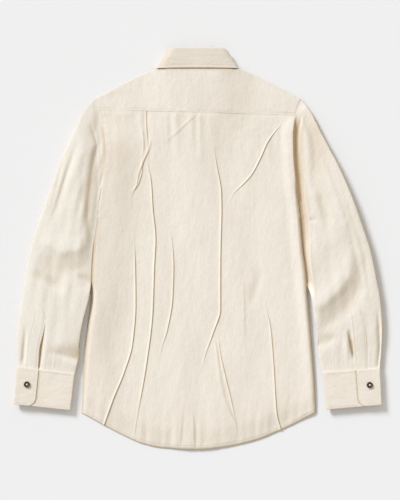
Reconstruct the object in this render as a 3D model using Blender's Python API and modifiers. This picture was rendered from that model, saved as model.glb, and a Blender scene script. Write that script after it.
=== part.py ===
"""A pleated long-sleeved cotton shirt, laid flat on its front with its back up.

X runs to the wearer's right sleeve as seen from above, Y from the hem to the collar, Z up.
The origin is on the surface it lies on, below the middle of its outline.
Tables and named sizes are in millimetres.
"""

import math

import bmesh
import bpy
import numpy as np

MM = 0.001

# Walls and gaps
CLOTH = 1.2
COLLAR_CLOTH = 1.4
CUFF_CLOTH = 1.8
PLACKET_CLOTH = 1.0
SEAM = 0.3

# Heights of the middle of each wall over the surface that the shirt lies on
LOW = CLOTH / 2
RAISED = 3.2
UNDERLAP_HEIGHT = 4.7
BACK_HEIGHT = 5.4
CENTRE_RISE = 1.1
NECK_RISE = 5.8
SIDE_SEAM_HEIGHT = 2.1

# Yoke, neck and front opening
YOKE_SEAM_LEFT = 278.5
YOKE_SEAM_RIGHT = 265.5
YOKE_FRONT_DEPTH = 28.0
NECK_HALF_WIDTH = 77.0
NECK_BACK = 358.4
NECK_FRONT = 283.0
NECK_FRONT_DROP = 47.0
PLACKET_HALF_WIDTH = 16.0
FRONT_HEM_RISE = 7.0
FRONT_LEFT_STEPS = (-16.3, -19.0, -28.0, -37.0, -46.0, -57.0, -67.0, -75.0)
FRONT_RIGHT_STEPS = (-10.0, 4.0, 18.0, 26.0, 34.0, 46.0, 57.0, 67.0, 75.0)
FRONT_ROWS = 18
FRONT_ROWS_TO_TOP = 0.11

# Armhole
SHOULDER_TIP = 299.0
UNDERARM = 97.0

# Buttons
BUTTON_RADIUS = 6.2
BUTTON_THICKNESS = 2.2
FRONT_BUTTONS = 7
FIRST_FRONT_BUTTON = 236.0
FRONT_BUTTON_SPACING = 84.0
COLLAR_BUTTON = 298.5

# Colours
CREAM = (0.86, 0.79, 0.68, 1.0)
BROWN = (0.045, 0.026, 0.014, 1.0)


def table(columns, *rows):
    """Columns of numbers by name, in the order of the first one."""
    values = np.array(sorted(rows), float).T
    return dict(zip(columns.split(), values))


# Side edges of the body from the shoulder tips past the armholes to the hem's corners
SIDES = table(
    "y left right",
    (300, -204.5, 204.5),
    (280, -198.0, 196.5),
    (255, -191.5, 190.5),
    (225, -186.0, 188.0),
    (190, -184.0, 188.5),
    (150, -188.0, 191.5),
    (97, -196.5, 197.5),
    (50, -202.5, 203.0),
    (0, -208.8, 207.2),
    (-50, -212.0, 213.5),
    (-100, -213.0, 217.5),
    (-150, -219.5, 222.0),
    (-200, -225.0, 226.0),
    (-250, -228.2, 229.8),
    (-325, -231.5, 233.7),
)

# Curved shirt tail along the back panel's hem
HEM = table(
    "x y",
    (-231, -329),
    (-188, -352.5),
    (-144, -375.5),
    (-112, -389),
    (-72, -397.4),
    (0, -400.7),
    (54, -395.8),
    (108, -384.3),
    (165, -362.5),
    (234, -327.5),
)

# Top outline of the shoulders, which is a fold of the yoke
SHOULDERS = table(
    "x y",
    (-206, 299),
    (-145, 331),
    (-83, 357.6),
    (-77, 358.4),
    (77, 358.4),
    (83, 357.4),
    (143, 331),
    (206, 297.5),
)

# Pressed-in pleats of the back: the crest's path from the hem to the yoke, and its height
PLEATS = (
    table(
        "y x height",
        (-360, -191, 3.8),
        (-298, -169, 3.8),
        (-248, -148.5, 3.4),
        (-190, -131.5, 3.4),
        (-110, -125, 3.2),
        (-30, -126, 2.4),
        (12, -128, 0.3),
        (60, -132, 0),
        (100, -134, 0.3),
        (132, -118.5, 2.2),
        (158, -112, 1.8),
        (200, -111, 0),
        (280, -122, 0),
    ),
    table(
        "y x height",
        (-392, -131, 0),
        (-330, -121, 1.2),
        (-240, -105, 3.2),
        (-125, -91, 3.5),
        (-40, -88, 3.5),
        (20, -85.3, 3.5),
        (80, -90.7, 3.4),
        (132, -94, 2.5),
        (176, -101, 0.3),
        (205, -101, 0.8),
        (240, -103.3, 2.0),
        (280, -104.5, 1.8),
    ),
    table(
        "y x height",
        (-400, -76, 0),
        (-235, -80, 0),
        (-200, -73.5, 0.6),
        (-165, -62.5, 2.2),
        (-100, -51.5, 3.0),
        (-35, -49.3, 2.5),
        (8, -51.7, 1.2),
        (45, -57, 0),
        (280, -54.5, 0),
    ),
    table(
        "y x height",
        (-402, 3.5, 0),
        (-245, 8, 0),
        (-222, 11.5, 0.6),
        (-170, 29, 2.6),
        (-120, 44, 3.4),
        (-52, 44, 3.5),
        (20, 45, 3.5),
        (80, 46.5, 3.4),
        (115, 45.7, 3.1),
        (160, 38, 2.0),
        (196, 32, 0.4),
        (215, 30, 0),
        (280, 27.5, 0),
    ),
    table(
        "y x height",
        (-394, 80, 0),
        (-350, 75.3, 0.6),
        (-295, 64, 2.0),
        (-248, 52.5, 2.2),
        (-200, 42.5, 1.4),
        (-172, 40, 0.2),
        (-110, 56, 0),
        (0, 60, 0),
        (88, 63, 0),
        (108, 69.5, 0.6),
        (128, 88.5, 2.4),
        (148, 106.5, 2.9),
        (185, 126, 3.0),
        (212, 138, 3.0),
        (236, 155, 1.8),
        (247, 165, 0.3),
        (272, 171, 0),
    ),
    table(
        "y x height",
        (-366, 166.5, 3.4),
        (-328, 156.7, 3.2),
        (-226, 150, 2.4),
        (-157, 144, 2.0),
        (-118, 135.5, 0.5),
        (-90, 132, 0),
        (0, 132, 0),
        (107, 144, 0),
        (160, 159, 0),
        (200, 168, 0),
        (272, 181.5, 0),
    ),
)
PLEAT_LEFT_FOOT = 5.0
PLEAT_RIGHT_FOOT = 2.6
PLEAT_FOOT_AT_END = 0.45
PLEAT_FULL_HEIGHT = 3.5
# Plain columns between the sides and pleats, from left to right
BACK_FILL = (4, 1, 1, 4, 1, 4, 3)
BACK_ROWS = 24

# Sleeves from the armhole to the cuff: both edges of the flat tube, and its height
SLEEVE_LEFT = table(
    "station outer_x outer_y inner_x inner_y height",
    (0.00, -204.8, 299.0, -197.0, 97.0, 5.8),
    (0.10, -226.0, 277.0, -199.0, 74.0, 8.5),
    (0.20, -245.0, 239.0, -202.0, 52.0, 11.0),
    (0.32, -270.0, 184.0, -206.0, 24.0, 12.0),
    (0.44, -294.5, 117.0, -210.0, -20.0, 12.0),
    (0.56, -315.0, 60.0, -213.5, -66.0, 11.0),
    (0.66, -333.5, -2.0, -217.5, -97.0, 9.5),
    (0.76, -344.5, -60.0, -229.0, -142.0, 8.5),
    (0.86, -354.0, -120.0, -236.0, -180.0, 8.0),
    (0.94, -360.0, -178.0, -239.0, -218.0, 7.0),
    (1.00, -360.8, -236.5, -246.0, -249.8, 5.8),
)
SLEEVE_RIGHT = table(
    "station outer_x outer_y inner_x inner_y height",
    (0.00, 204.8, 299.0, 198.0, 97.0, 5.8),
    (0.10, 225.5, 270.5, 201.0, 74.0, 8.0),
    (0.20, 245.5, 229.5, 204.0, 52.0, 10.0),
    (0.32, 276.5, 170.5, 207.0, 24.0, 11.5),
    (0.44, 307.0, 101.5, 211.5, -20.0, 12.0),
    (0.56, 327.5, 43.5, 216.5, -66.0, 11.0),
    (0.66, 343.0, -4.0, 226.0, -97.0, 10.0),
    (0.76, 355.0, -60.0, 233.0, -142.0, 9.0),
    (0.86, 363.5, -110.0, 239.0, -165.0, 8.0),
    (0.94, 367.0, -165.0, 239.5, -200.0, 7.0),
    (1.00, 362.6, -239.0, 248.5, -247.4, 5.8),
)
# Large troughs of the sleeves: where each is across the tube, from the outer edge, and how deep
TROUGHS_LEFT = (
    table("station across depth width", (0.0, 0.8, 0, 0.09), (0.1, 0.84, 3.0, 0.09), (0.25, 0.84, 5.5, 0.09),
          (0.42, 0.84, 5.0, 0.08), (0.56, 0.86, 2.0, 0.08), (0.64, 0.9, 0, 0.08)),
    table("station across depth width", (0.48, 0.3, 0, 0.08), (0.58, 0.42, 1.6, 0.08), (0.66, 0.66, 2.2, 0.08),
          (0.74, 0.8, 0, 0.08)),
)
TROUGHS_RIGHT = (
    table("station across depth width", (0.0, 0.8, 0, 0.08), (0.1, 0.8, 2.5, 0.08), (0.25, 0.82, 4.0, 0.08),
          (0.4, 0.8, 2.5, 0.08), (0.52, 0.8, 0, 0.08)),
    table("station across depth width", (0.6, 0.28, 0, 0.08), (0.66, 0.45, 2.4, 0.08), (0.72, 0.75, 3.2, 0.09),
          (0.78, 0.9, 1.0, 0.09), (0.82, 0.95, 0, 0.09)),
)
SLEEVE_UPPER_CELLS = 14
SLEEVE_LOWER_CELLS = 5
SLEEVE_ROWS = 20
SLEEVE_ROUNDING = 2.5
ARMHOLE_FADE = 0.4
SIDE_BY_SIDE = 1.6
ARMHOLE_END_GAP = 0.9

# Cuffs: the corners of the flat band where it joins the sleeve and at its free edge
CUFF_LEFT = table(
    "station outer_x outer_y inner_x inner_y",
    (0, -361.2, -237.2, -246.2, -250.5),
    (1, -367.5, -309.7, -254.7, -321.7),
)
CUFF_RIGHT = table(
    "station outer_x outer_y inner_x inner_y",
    (0, 362.4, -239.7, 248.4, -248.1),
    (1, 366.0, -310.7, 255.7, -320.5),
)
CUFF_UNDERLAP_HEIGHT = 4.4
CUFF_OVERLAP_HEIGHT = 6.6
CUFF_UNDERLAP_START = 0.1
CUFF_OVERLAP_END_LEFT = 0.37
CUFF_OVERLAP_END_RIGHT = 0.41
CUFF_CORNER = 17.0
CUFF_BUTTON_ACROSS = 0.2
CUFF_BUTTON_DOWN = 0.42

# Plackets over the sleeve slits, as places on the sleeve
PLACKET_LEFT = table(
    "station left right",
    (0.84, 0.215, 0.42),
    (0.873, 0.205, 0.42),
    (0.91, 0.185, 0.40),
    (0.96, 0.15, 0.36),
    (1.0, 0.135, 0.36),
)
PLACKET_RIGHT = table(
    "station left right",
    (0.85, 0.29, 0.49),
    (0.90, 0.265, 0.48),
    (0.975, 0.23, 0.45),
    (1.0, 0.21, 0.43),
)
PLACKET_POINT = 0.027

# Half of the collar from the middle of the back to the front edge
COLLAR = table(
    "t seam_x seam_y seam_z fold_x fold_y fold_z edge_x edge_y edge_z turn",
    (0.00, 0, 358.9, 11.2, 0, 398.0, 14.2, 0, 365.0, 14.6, 90),
    (0.20, 38, 358.9, 11.2, 34, 398.0, 14.2, 40, 364.8, 14.4, 90),
    (0.36, 63, 358.9, 10.3, 54, 397.2, 13.2, 65, 363.8, 13.6, 84),
    (0.46, 73.0, 359.3, 8.3, 62, 393.5, 10.0, 78, 362.6, 9.8, 45),
    (0.50, 75.4, 358.2, 6.4, 64, 389.5, 7.4, 82, 361.6, 5.8, 0),
    (0.54, 75.5, 348.0, 4.6, 64, 381.0, 5.0, 82.5, 360.4, 2.2, -45),
    (0.58, 75.3, 332.0, 3.6, 63, 369.0, 3.7, 82, 352.0, 0.8, -75),
    (0.62, 74.5, 318.0, 3.2, 61, 357.0, 3.2, 80, 332.0, 0.75, -88),
    (0.70, 66, 304.0, 3.2, 54, 342.0, 3.2, 73, 307.0, 0.75, -90),
    (0.80, 48, 291.0, 3.2, 39, 325.0, 3.2, 64, 284.0, 0.75, -90),
    (0.90, 25, 285.0, 3.2, 20, 317.5, 3.2, 55, 264.0, 0.75, -90),
    (1.00, -10, 283.0, 3.2, -10, 314.5, 3.2, 46, 246.0, 0.75, -90),
)
COLLAR_LEAF_END = 0.95
COLLAR_FOLD_FRONT = 1.2
COLLAR_FOLD_BACK = 1.7
COLLAR_OVERLAP_RISE = 1.9
COLLAR_CELLS = 17


def along(rows, column, at):
    """A table's column on a smooth curve through its rows, at a value of the first column."""
    keys = next(iter(rows.values()))
    values = rows[column]
    steps = np.diff(values) / np.diff(keys)
    turns = steps[:-1] * steps[1:] <= 0
    inner = np.where(turns, 0, 2 * steps[:-1] * steps[1:] / np.where(turns, 1, steps[:-1] + steps[1:]))
    slopes = np.concatenate((steps[:1], inner, steps[-1:]))
    at = min(max(at, keys[0]), keys[-1])
    row = min(max(int(np.searchsorted(keys, at)), 1), len(keys) - 1)
    span = keys[row] - keys[row - 1]
    t = (at - keys[row - 1]) / span
    start = values[row - 1] * (2 * t**3 - 3 * t**2 + 1) + slopes[row - 1] * span * (t**3 - 2 * t**2 + t)
    end = values[row] * (3 * t**2 - 2 * t**3) + slopes[row] * span * (t**3 - t**2)
    return float(start + end)


def ramp(value, low, high):
    """0 below low, 1 above high, and smooth between."""
    t = min(max((value - low) / (high - low), 0.0), 1.0)
    return t * t * (3 - 2 * t)


def mix(a, b, t):
    return a + (b - a) * t


def settle(across, line, y):
    """Where a column, whose x changes with y, meets a line given by its x."""
    for _ in range(5):
        y = line(across(y))
    return y


def shoulder_line(x):
    return along(SHOULDERS, "y", x)


def hem_line(x):
    return along(HEM, "y", x)


def yoke_seam(x):
    return mix(YOKE_SEAM_LEFT, YOKE_SEAM_RIGHT, ramp(x, -400, 400) * 0.5 + (x + 200) / 800)


def yoke_front_seam(x):
    return shoulder_line(x) - YOKE_FRONT_DEPTH


def neck_front(x):
    return NECK_FRONT + NECK_FRONT_DROP * min(abs(x) / NECK_HALF_WIDTH, 1.0) ** 3


def front_lift(x, y):
    """How far the fronts rise to pass over the collar's points and the front buttons."""
    over_collar = (1 - ramp(abs(x), 92, 125)) * ramp(y, 205, 236)
    over_buttons = 1 - ramp(abs(x), 18, 46)
    return (RAISED - LOW) * (1 - (1 - over_collar) * (1 - over_buttons))


def back_height(x, y):
    """Height of the middle of the upper layer, without its pleats."""
    height = BACK_HEIGHT + CENTRE_RISE * (1 - ramp(abs(x), 22, 75))
    height += NECK_RISE * (1 - ramp(abs(x), 52, 98)) * ramp(y, 285, 352)
    inside = min(x - along(SIDES, "left", y), along(SIDES, "right", y) - x)
    below_armhole = 1 - ramp(y, 92, 150)
    drop = (1 - ramp(inside, -4, 15)) * below_armhole
    return mix(height, SIDE_SEAM_HEIGHT - 0.6, drop)


def new_material(name, colour, roughness):
    material = bpy.data.materials.new(name)
    material.use_nodes = True
    shader = material.node_tree.nodes["Principled BSDF"]
    shader.inputs["Base Color"].default_value = colour
    shader.inputs["Roughness"].default_value = roughness
    shader.inputs["Metallic"].default_value = 0.0
    return material


def add_object(name, mesh, material):
    body = bpy.data.meshes.new(name)
    mesh.to_mesh(body)
    mesh.free()
    body.materials.append(material)
    part = bpy.data.objects.new(name, body)
    COLLECTION.objects.link(part)
    return part


def add_wall(part, thickness):
    wall = part.modifiers.new("wall", "SOLIDIFY")
    wall.thickness = thickness * MM
    wall.offset = 0.0
    return part


def sheet(name, columns, rows, place, thickness, material, tube=False, leave_out=None):
    """A wall of cloth on a grid, whose points come from place(column, row) in millimetres."""
    mesh = bmesh.new()
    bmesh.ops.create_grid(mesh, x_segments=columns, y_segments=rows, size=1.0)
    cells = {}
    for vertex in mesh.verts:
        cells[vertex] = (round((vertex.co.x + 1) / 2 * columns), round((vertex.co.y + 1) / 2 * rows))
    if leave_out:
        empty = [face for face in mesh.faces if all(leave_out(*cells[v]) for v in face.verts)]
        bmesh.ops.delete(mesh, geom=empty, context="FACES")
    for vertex in mesh.verts:
        vertex.co = [value * MM for value in place(*cells[vertex])]
    if tube:
        bmesh.ops.remove_doubles(mesh, verts=mesh.verts, dist=0.00001)
        bmesh.ops.recalc_face_normals(mesh, faces=mesh.faces)
    part = add_object(name, mesh, material)
    for face in part.data.polygons:
        face.use_smooth = True
    return add_wall(part, thickness)


def pleat_lines(y):
    """Columns that bound the plain parts and the pleats at y, with each one's pleat height."""
    lines = [(along(SIDES, "left", y), 0.0)]
    for pleat in PLEATS:
        x = along(pleat, "x", y)
        height = max(along(pleat, "height", y), 0.0)
        reach = mix(PLEAT_FOOT_AT_END, 1.0, min(height / PLEAT_FULL_HEIGHT, 1.0))
        lines += [(x - PLEAT_LEFT_FOOT * reach, 0.0), (x, height), (x + PLEAT_RIGHT_FOOT * reach, 0.0)]
    lines.append((along(SIDES, "right", y), 0.0))
    return lines


def back_columns():
    """Each grid column of the back as the line on its left and how far it is to the next."""
    columns = []
    line = 0
    for fill in BACK_FILL:
        columns += [(line, step / (fill + 1)) for step in range(fill + 1)]
        columns += [(line + 1, 0.0), (line + 2, 0.0)]
        line += 3
    return columns[:-2] + [(line - 3, 1.0)]


def add_back_panel(material):
    columns = back_columns()

    def on_line(column, y):
        line, share = columns[column]
        lines = pleat_lines(y)
        left, right = lines[line], lines[min(line + 1, len(lines) - 1)]
        return mix(left[0], right[0], share), (mix(left[1], right[1], share) if share in (0.0, 1.0) else 0.0)

    def place(column, row):
        top = settle(lambda y: on_line(column, y)[0], yoke_seam, YOKE_SEAM_LEFT) - SEAM
        bottom = settle(lambda y: on_line(column, y)[0], hem_line, -360)
        y = mix(bottom, top, row / BACK_ROWS)
        x, pleat = on_line(column, y)
        return x, y, back_height(x, y) + pleat

    return sheet("back_panel", len(columns) - 1, BACK_ROWS, place, CLOTH, material)


def add_yoke(material):
    neck_columns = 12
    shoulder_columns = 9
    upper_rows = 5
    fold_rows = 4
    lower_rows = 2
    columns = neck_columns + 2 * shoulder_columns
    rows = upper_rows + fold_rows + lower_rows

    def across(column, y):
        if column < shoulder_columns:
            return mix(along(SIDES, "left", y), -NECK_HALF_WIDTH, column / shoulder_columns)
        if column > shoulder_columns + neck_columns:
            step = (column - shoulder_columns - neck_columns) / shoulder_columns
            return mix(NECK_HALF_WIDTH, along(SIDES, "right", y), step)
        return mix(-NECK_HALF_WIDTH, NECK_HALF_WIDTH, (column - shoulder_columns) / neck_columns)

    def place(column, row):
        outline = settle(lambda y: across(column, y), shoulder_line, SHOULDER_TIP) - 0.2
        start = settle(lambda y: across(column, y), yoke_seam, YOKE_SEAM_LEFT) + SEAM
        x = across(column, outline)
        low = LOW + front_lift(x, outline)
        high = back_height(x, outline)
        at_neck = shoulder_columns < column < shoulder_columns + neck_columns
        fold = 0 if at_neck else (high - low) / 2
        if row <= upper_rows:
            y = mix(start, outline - fold, row / upper_rows)
            x = across(column, y)
            return x, y, back_height(x, y)
        if row <= upper_rows + fold_rows:
            angle = math.pi * (row - upper_rows) / fold_rows
            return x, outline - fold + fold * math.sin(angle), low + fold + fold * math.cos(angle)
        end = settle(lambda y: across(column, y), yoke_front_seam, outline) + SEAM
        y = mix(outline - fold, end, (row - upper_rows - fold_rows) / lower_rows)
        x = across(column, y)
        return x, y, LOW + front_lift(x, y)

    def is_neck(column, row):
        in_neck = shoulder_columns <= column <= shoulder_columns + neck_columns
        return in_neck and row >= upper_rows

    return sheet("yoke", columns, rows, place, CLOTH, material, leave_out=is_neck)


def front_top(x):
    return (neck_front(x) if abs(x) < NECK_HALF_WIDTH - 1 else yoke_front_seam(x)) - SEAM


def front_hem(x):
    return hem_line(x) + FRONT_HEM_RISE


def front_row(row):
    """Share of a front's height at a grid row, with the rows closer together at the armhole."""
    return row / FRONT_ROWS + FRONT_ROWS_TO_TOP * math.sin(math.pi * row / FRONT_ROWS)


def add_front(name, side, near_middle, material):
    """One front, from its columns near the middle to its side seam."""
    plain_columns = 5
    edge = "left" if side < 0 else "right"
    columns = len(near_middle) + plain_columns - 1

    def across(column, y):
        if column < len(near_middle):
            return near_middle[column]
        share = (column - len(near_middle) + 1) / plain_columns
        return mix(near_middle[-1], along(SIDES, edge, y), share)

    def place(column, row):
        top = settle(lambda y: across(column, y), front_top, YOKE_SEAM_RIGHT)
        bottom = settle(lambda y: across(column, y), front_hem, -360)
        y = mix(bottom, top, front_row(row))
        x = across(column, y)
        height = LOW + front_lift(x, y)
        if side > 0:
            height = mix(height, UNDERLAP_HEIGHT, 1 - ramp(x, 18, 34))
        return x, y, height

    return sheet(name, columns, FRONT_ROWS, place, CLOTH, material)


def add_front_placket(material):
    def place(column, row):
        x = mix(-PLACKET_HALF_WIDTH, PLACKET_HALF_WIDTH, column / 4)
        return x, mix(front_hem(x), front_top(x), front_row(row)), RAISED

    return sheet("front_placket", 4, FRONT_ROWS, place, CLOTH, material)


def sleeve_point(sleeve, troughs, side, across, station):
    """A point of the sleeve's upper layer: across from its outer to its inner edge, along to the cuff."""
    edge = "left" if side < 0 else "right"
    outer_x = along(sleeve, "outer_x", station)
    outer_y = along(sleeve, "outer_y", station)
    inner_x = along(sleeve, "inner_x", station)
    inner_y = along(sleeve, "inner_y", station)
    beside = along(SIDES, edge, inner_y) + side * SIDE_BY_SIDE
    inner_x = max(inner_x, beside) if side > 0 else min(inner_x, beside)
    x = mix(outer_x, inner_x, across)
    y = mix(outer_y, inner_y, across)
    seam_y = mix(SHOULDER_TIP, UNDERARM, across)
    at_ends = 1 - ramp(across, 0, 0.15) + ramp(across, 0.8, 1)
    seam_x = along(SIDES, edge, seam_y) + side * (2 * SEAM + ARMHOLE_END_GAP * at_ends)
    straight_x = mix(sleeve["outer_x"][0], sleeve["inner_x"][0], across)
    x += (seam_x - straight_x) * (1 - ramp(station, 0, ARMHOLE_FADE))
    if station == 0:
        x, y = seam_x, seam_y
    rounding = (1 - abs(2 * across - 1) ** SLEEVE_ROUNDING) ** (1 / SLEEVE_ROUNDING)
    height = along(sleeve, "height", station)
    for trough in troughs:
        depth = max(along(trough, "depth", station), 0.0)
        away = (across - along(trough, "across", station)) / along(trough, "width", station)
        height -= depth * math.exp(-away * away)
    return x, y, LOW + height * rounding


def add_sleeve(name, sleeve, troughs, side, material):
    around = SLEEVE_UPPER_CELLS + SLEEVE_LOWER_CELLS

    def place(column, row):
        station = row / SLEEVE_ROWS
        if column <= SLEEVE_UPPER_CELLS:
            across = 0.5 - 0.5 * math.cos(math.pi * column / SLEEVE_UPPER_CELLS)
            return sleeve_point(sleeve, troughs, side, across, station)
        across = 1 - (column - SLEEVE_UPPER_CELLS) / SLEEVE_LOWER_CELLS
        x, y, _ = sleeve_point(sleeve, troughs, side, across, station)
        return x, y, LOW

    return sheet(name, around, SLEEVE_ROWS, place, CLOTH, material, tube=True)


def add_sleeve_placket(name, sleeve, troughs, side, placket, material):
    """A strip with a pointed top, made from the sleeve's points and moved out."""
    rows = 12
    columns = 4
    first = placket["station"][0]
    last = placket["station"][-1] - 0.004

    def place(column, row):
        middle = 1 - abs(2 * column / columns - 1)
        top = first - PLACKET_POINT * middle
        station = mix(top, last, row / rows)
        across = mix(along(placket, "left", station), along(placket, "right", station), column / columns)
        x, y, z = sleeve_point(sleeve, troughs, side, across, station)
        return x, y, z + CLOTH / 2 + SEAM + PLACKET_CLOTH / 2 + 0.15

    return sheet(name, columns, rows, place, PLACKET_CLOTH, material)


def cuff_path(width, overlap_end):
    """The band's section from the end that lies under, round both edges, to the end on top."""
    low = CUFF_CLOTH / 2
    path = []
    for step in range(6):
        path.append((mix(CUFF_UNDERLAP_START, 1 - 2.2 / width, step / 5), CUFF_UNDERLAP_HEIGHT))
    turn = (CUFF_UNDERLAP_HEIGHT - low) / 2
    for step in (1, 2, 3):
        angle = math.pi * step / 4
        path.append((1 - (2.2 - turn * math.sin(angle)) / width, low + turn + turn * math.cos(angle)))
    for step in range(6):
        path.append((mix(1 - 2.2 / width, 3.2 / width, step / 5), low))
    turn = (CUFF_OVERLAP_HEIGHT - low) / 2
    for step in (1, 2, 3):
        angle = math.pi * step / 4
        path.append(((3.2 - turn * math.sin(angle)) / width, low + turn - turn * math.cos(angle)))
    for step in range(6):
        path.append((mix(3.2 / width, overlap_end, step / 5), CUFF_OVERLAP_HEIGHT))
    return path


def cuff_frame(cuff, down):
    outer = (along(cuff, "outer_x", down), along(cuff, "outer_y", down))
    inner = (along(cuff, "inner_x", down), along(cuff, "inner_y", down))
    return outer, inner


def add_cuff(name, cuff, overlap_end, material):
    outer, inner = cuff_frame(cuff, 0)
    width = math.dist(outer, inner)
    height = math.dist(outer, cuff_frame(cuff, 1)[0])
    path = cuff_path(width, overlap_end)
    rows = 5

    def place(column, row):
        across, z = path[column]
        down = row / rows
        from_end = (overlap_end - across) * width
        if column > len(path) - 7 and from_end < CUFF_CORNER:
            reach = CUFF_CORNER - from_end
            down *= 1 - (CUFF_CORNER - math.sqrt(max(CUFF_CORNER**2 - reach**2, 0))) / height
        start, end = cuff_frame(cuff, down)
        return mix(start[0], end[0], across), mix(start[1], end[1], across), z

    return sheet(name, len(path) - 1, rows, place, CUFF_CLOTH, material)


def add_button(name, x, y, underside, material):
    """A turned button with a raised rim round a shallow dish."""
    radius, thickness = BUTTON_RADIUS, BUTTON_THICKNESS
    profile = (
        (0.0, thickness * 0.62),
        (radius * 0.62, thickness * 0.62),
        (radius * 0.8, thickness),
        (radius, thickness * 0.75),
        (radius, thickness * 0.25),
        (radius * 0.85, 0.0),
        (0.0, 0.0),
    )
    mesh = bmesh.new()
    corners = [mesh.verts.new((across * MM, 0.0, up * MM)) for across, up in profile]
    for start, end in zip(corners, corners[1:]):
        mesh.edges.new((start, end))
    button = add_object(name, mesh, material)
    turned = button.modifiers.new("turned", "SCREW")
    turned.steps = 14
    turned.render_steps = 14
    turned.use_merge_vertices = True
    turned.merge_threshold = 0.00001
    button.location = (x * MM, y * MM, underside * MM)
    return button


def collar_lines(t):
    """Points of the collar's neck seam, fold and edge at t, which runs from -1 round the back to 1."""
    row = abs(t)
    side = 1 if t >= 0 else -1
    lines = []
    for line in ("seam", "fold", "edge"):
        x, y, z = (along(COLLAR, f"{line}_{axis}", row) for axis in "xyz")
        if line == "seam":
            y = max(y, neck_front(x) + 3 * SEAM)
        lines.append(np.array((side * x, y, z)))
    return lines


def collar_directions(t):
    """Unit vectors at the fold: on past the stand's edge, and out from the neck."""
    seam, fold, _ = collar_lines(t)
    run = collar_lines(t + 0.01)[1] - collar_lines(t - 0.01)[1]
    run /= np.linalg.norm(run)
    up = fold - seam
    up -= up.dot(run) * run
    up /= np.linalg.norm(up)
    out = np.cross(run, up)
    turn = math.radians(along(COLLAR, "turn", abs(t)))
    facing = np.array((math.copysign(math.cos(turn), t), 0, math.sin(turn)))
    return up, out * math.copysign(1, out.dot(facing))


def collar_steps():
    """Places round the leaf, closer together where it turns over at the sides."""
    steps = []
    for cell in range(COLLAR_CELLS + 1):
        share = cell / COLLAR_CELLS
        steps.append(COLLAR_LEAF_END * (share + 0.08 * math.sin(2 * math.pi * (share - 0.03))) + 0.014)
    return [-step for step in reversed(steps[1:])] + [0] + steps[1:]


def add_collar_stand(material):
    steps = [-1] + collar_steps() + [1]
    rows = 3

    def place(column, row):
        t = steps[column]
        seam, fold, _ = collar_lines(t)
        x, y, z = mix(seam, fold, row / rows)
        return x, y, z + COLLAR_OVERLAP_RISE * ramp(t, 0.72, 0.88)

    return sheet("collar_stand", len(steps) - 1, rows, place, COLLAR_CLOTH, material)


def add_collar_leaf(material):
    steps = collar_steps()
    fold_cells = 3
    fall_cells = 4
    lift = COLLAR_CLOTH / 2 + SEAM + 0.5

    def place(column, row):
        t = steps[column]
        up, out = collar_directions(t)
        _, fold, edge = collar_lines(t)
        root = fold + up * lift
        radius = mix(COLLAR_FOLD_FRONT, COLLAR_FOLD_BACK, ramp(along(COLLAR, "turn", abs(t)), -85, 0))
        if row <= fold_cells:
            angle = math.pi * row / fold_cells
            return root + up * radius * math.sin(angle) + out * radius * (1 - math.cos(angle))
        return mix(root + out * 2 * radius, edge, (row - fold_cells) / fall_cells)

    return sheet("collar_leaf", len(steps) - 1, fold_cells + fall_cells, place, COLLAR_CLOTH, material)


def add_cuff_button(name, cuff, material):
    outer, inner = cuff_frame(cuff, CUFF_BUTTON_DOWN)
    x = mix(outer[0], inner[0], CUFF_BUTTON_ACROSS)
    y = mix(outer[1], inner[1], CUFF_BUTTON_ACROSS)
    return add_button(name, x, y, CUFF_OVERLAP_HEIGHT + CUFF_CLOTH / 2 + SEAM, material)


def clear_scene():
    for old in list(bpy.data.objects):
        bpy.data.objects.remove(old, do_unlink=True)


clear_scene()
COLLECTION = bpy.data.collections.new("pleated_shirt")
bpy.context.scene.collection.children.link(COLLECTION)

body_cloth = new_material("body_cloth", CREAM, 0.9)
add_back_panel(body_cloth)
add_yoke(new_material("yoke_cloth", CREAM, 0.9))
add_front("front_left", -1, FRONT_LEFT_STEPS, new_material("front_left_cloth", CREAM, 0.9))
add_front("front_right", 1, FRONT_RIGHT_STEPS, new_material("front_right_cloth", CREAM, 0.9))
add_front_placket(new_material("placket_cloth", CREAM, 0.9))

sleeve_cloth = new_material("sleeve_cloth", CREAM, 0.9)
add_sleeve("sleeve_left", SLEEVE_LEFT, TROUGHS_LEFT, -1, sleeve_cloth)
add_sleeve("sleeve_right", SLEEVE_RIGHT, TROUGHS_RIGHT, 1, sleeve_cloth)
add_sleeve_placket("sleeve_placket_left", SLEEVE_LEFT, TROUGHS_LEFT, -1, PLACKET_LEFT, sleeve_cloth)
add_sleeve_placket("sleeve_placket_right", SLEEVE_RIGHT, TROUGHS_RIGHT, 1, PLACKET_RIGHT, sleeve_cloth)

cuff_cloth = new_material("cuff_cloth", CREAM, 0.85)
add_cuff("cuff_left", CUFF_LEFT, CUFF_OVERLAP_END_LEFT, cuff_cloth)
add_cuff("cuff_right", CUFF_RIGHT, CUFF_OVERLAP_END_RIGHT, cuff_cloth)

collar_cloth = new_material("collar_cloth", CREAM, 0.85)
add_collar_stand(collar_cloth)
add_collar_leaf(collar_cloth)

button_brown = new_material("button_brown", BROWN, 0.35)
add_cuff_button("cuff_button_left", CUFF_LEFT, button_brown)
add_cuff_button("cuff_button_right", CUFF_RIGHT, button_brown)
add_button("collar_button", 0.0, COLLAR_BUTTON, 0.0, button_brown)
for number in range(FRONT_BUTTONS):
    place_y = FIRST_FRONT_BUTTON - number * FRONT_BUTTON_SPACING
    add_button(f"front_button_{number + 1}", 0.0, place_y, 0.0, button_brown)
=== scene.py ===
"""Looks of the pleated shirt, laid flat with its back up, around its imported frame.

Tables and named sizes are in millimetres, as in the part's source; meshes are in metres.
"""

import math

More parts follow.
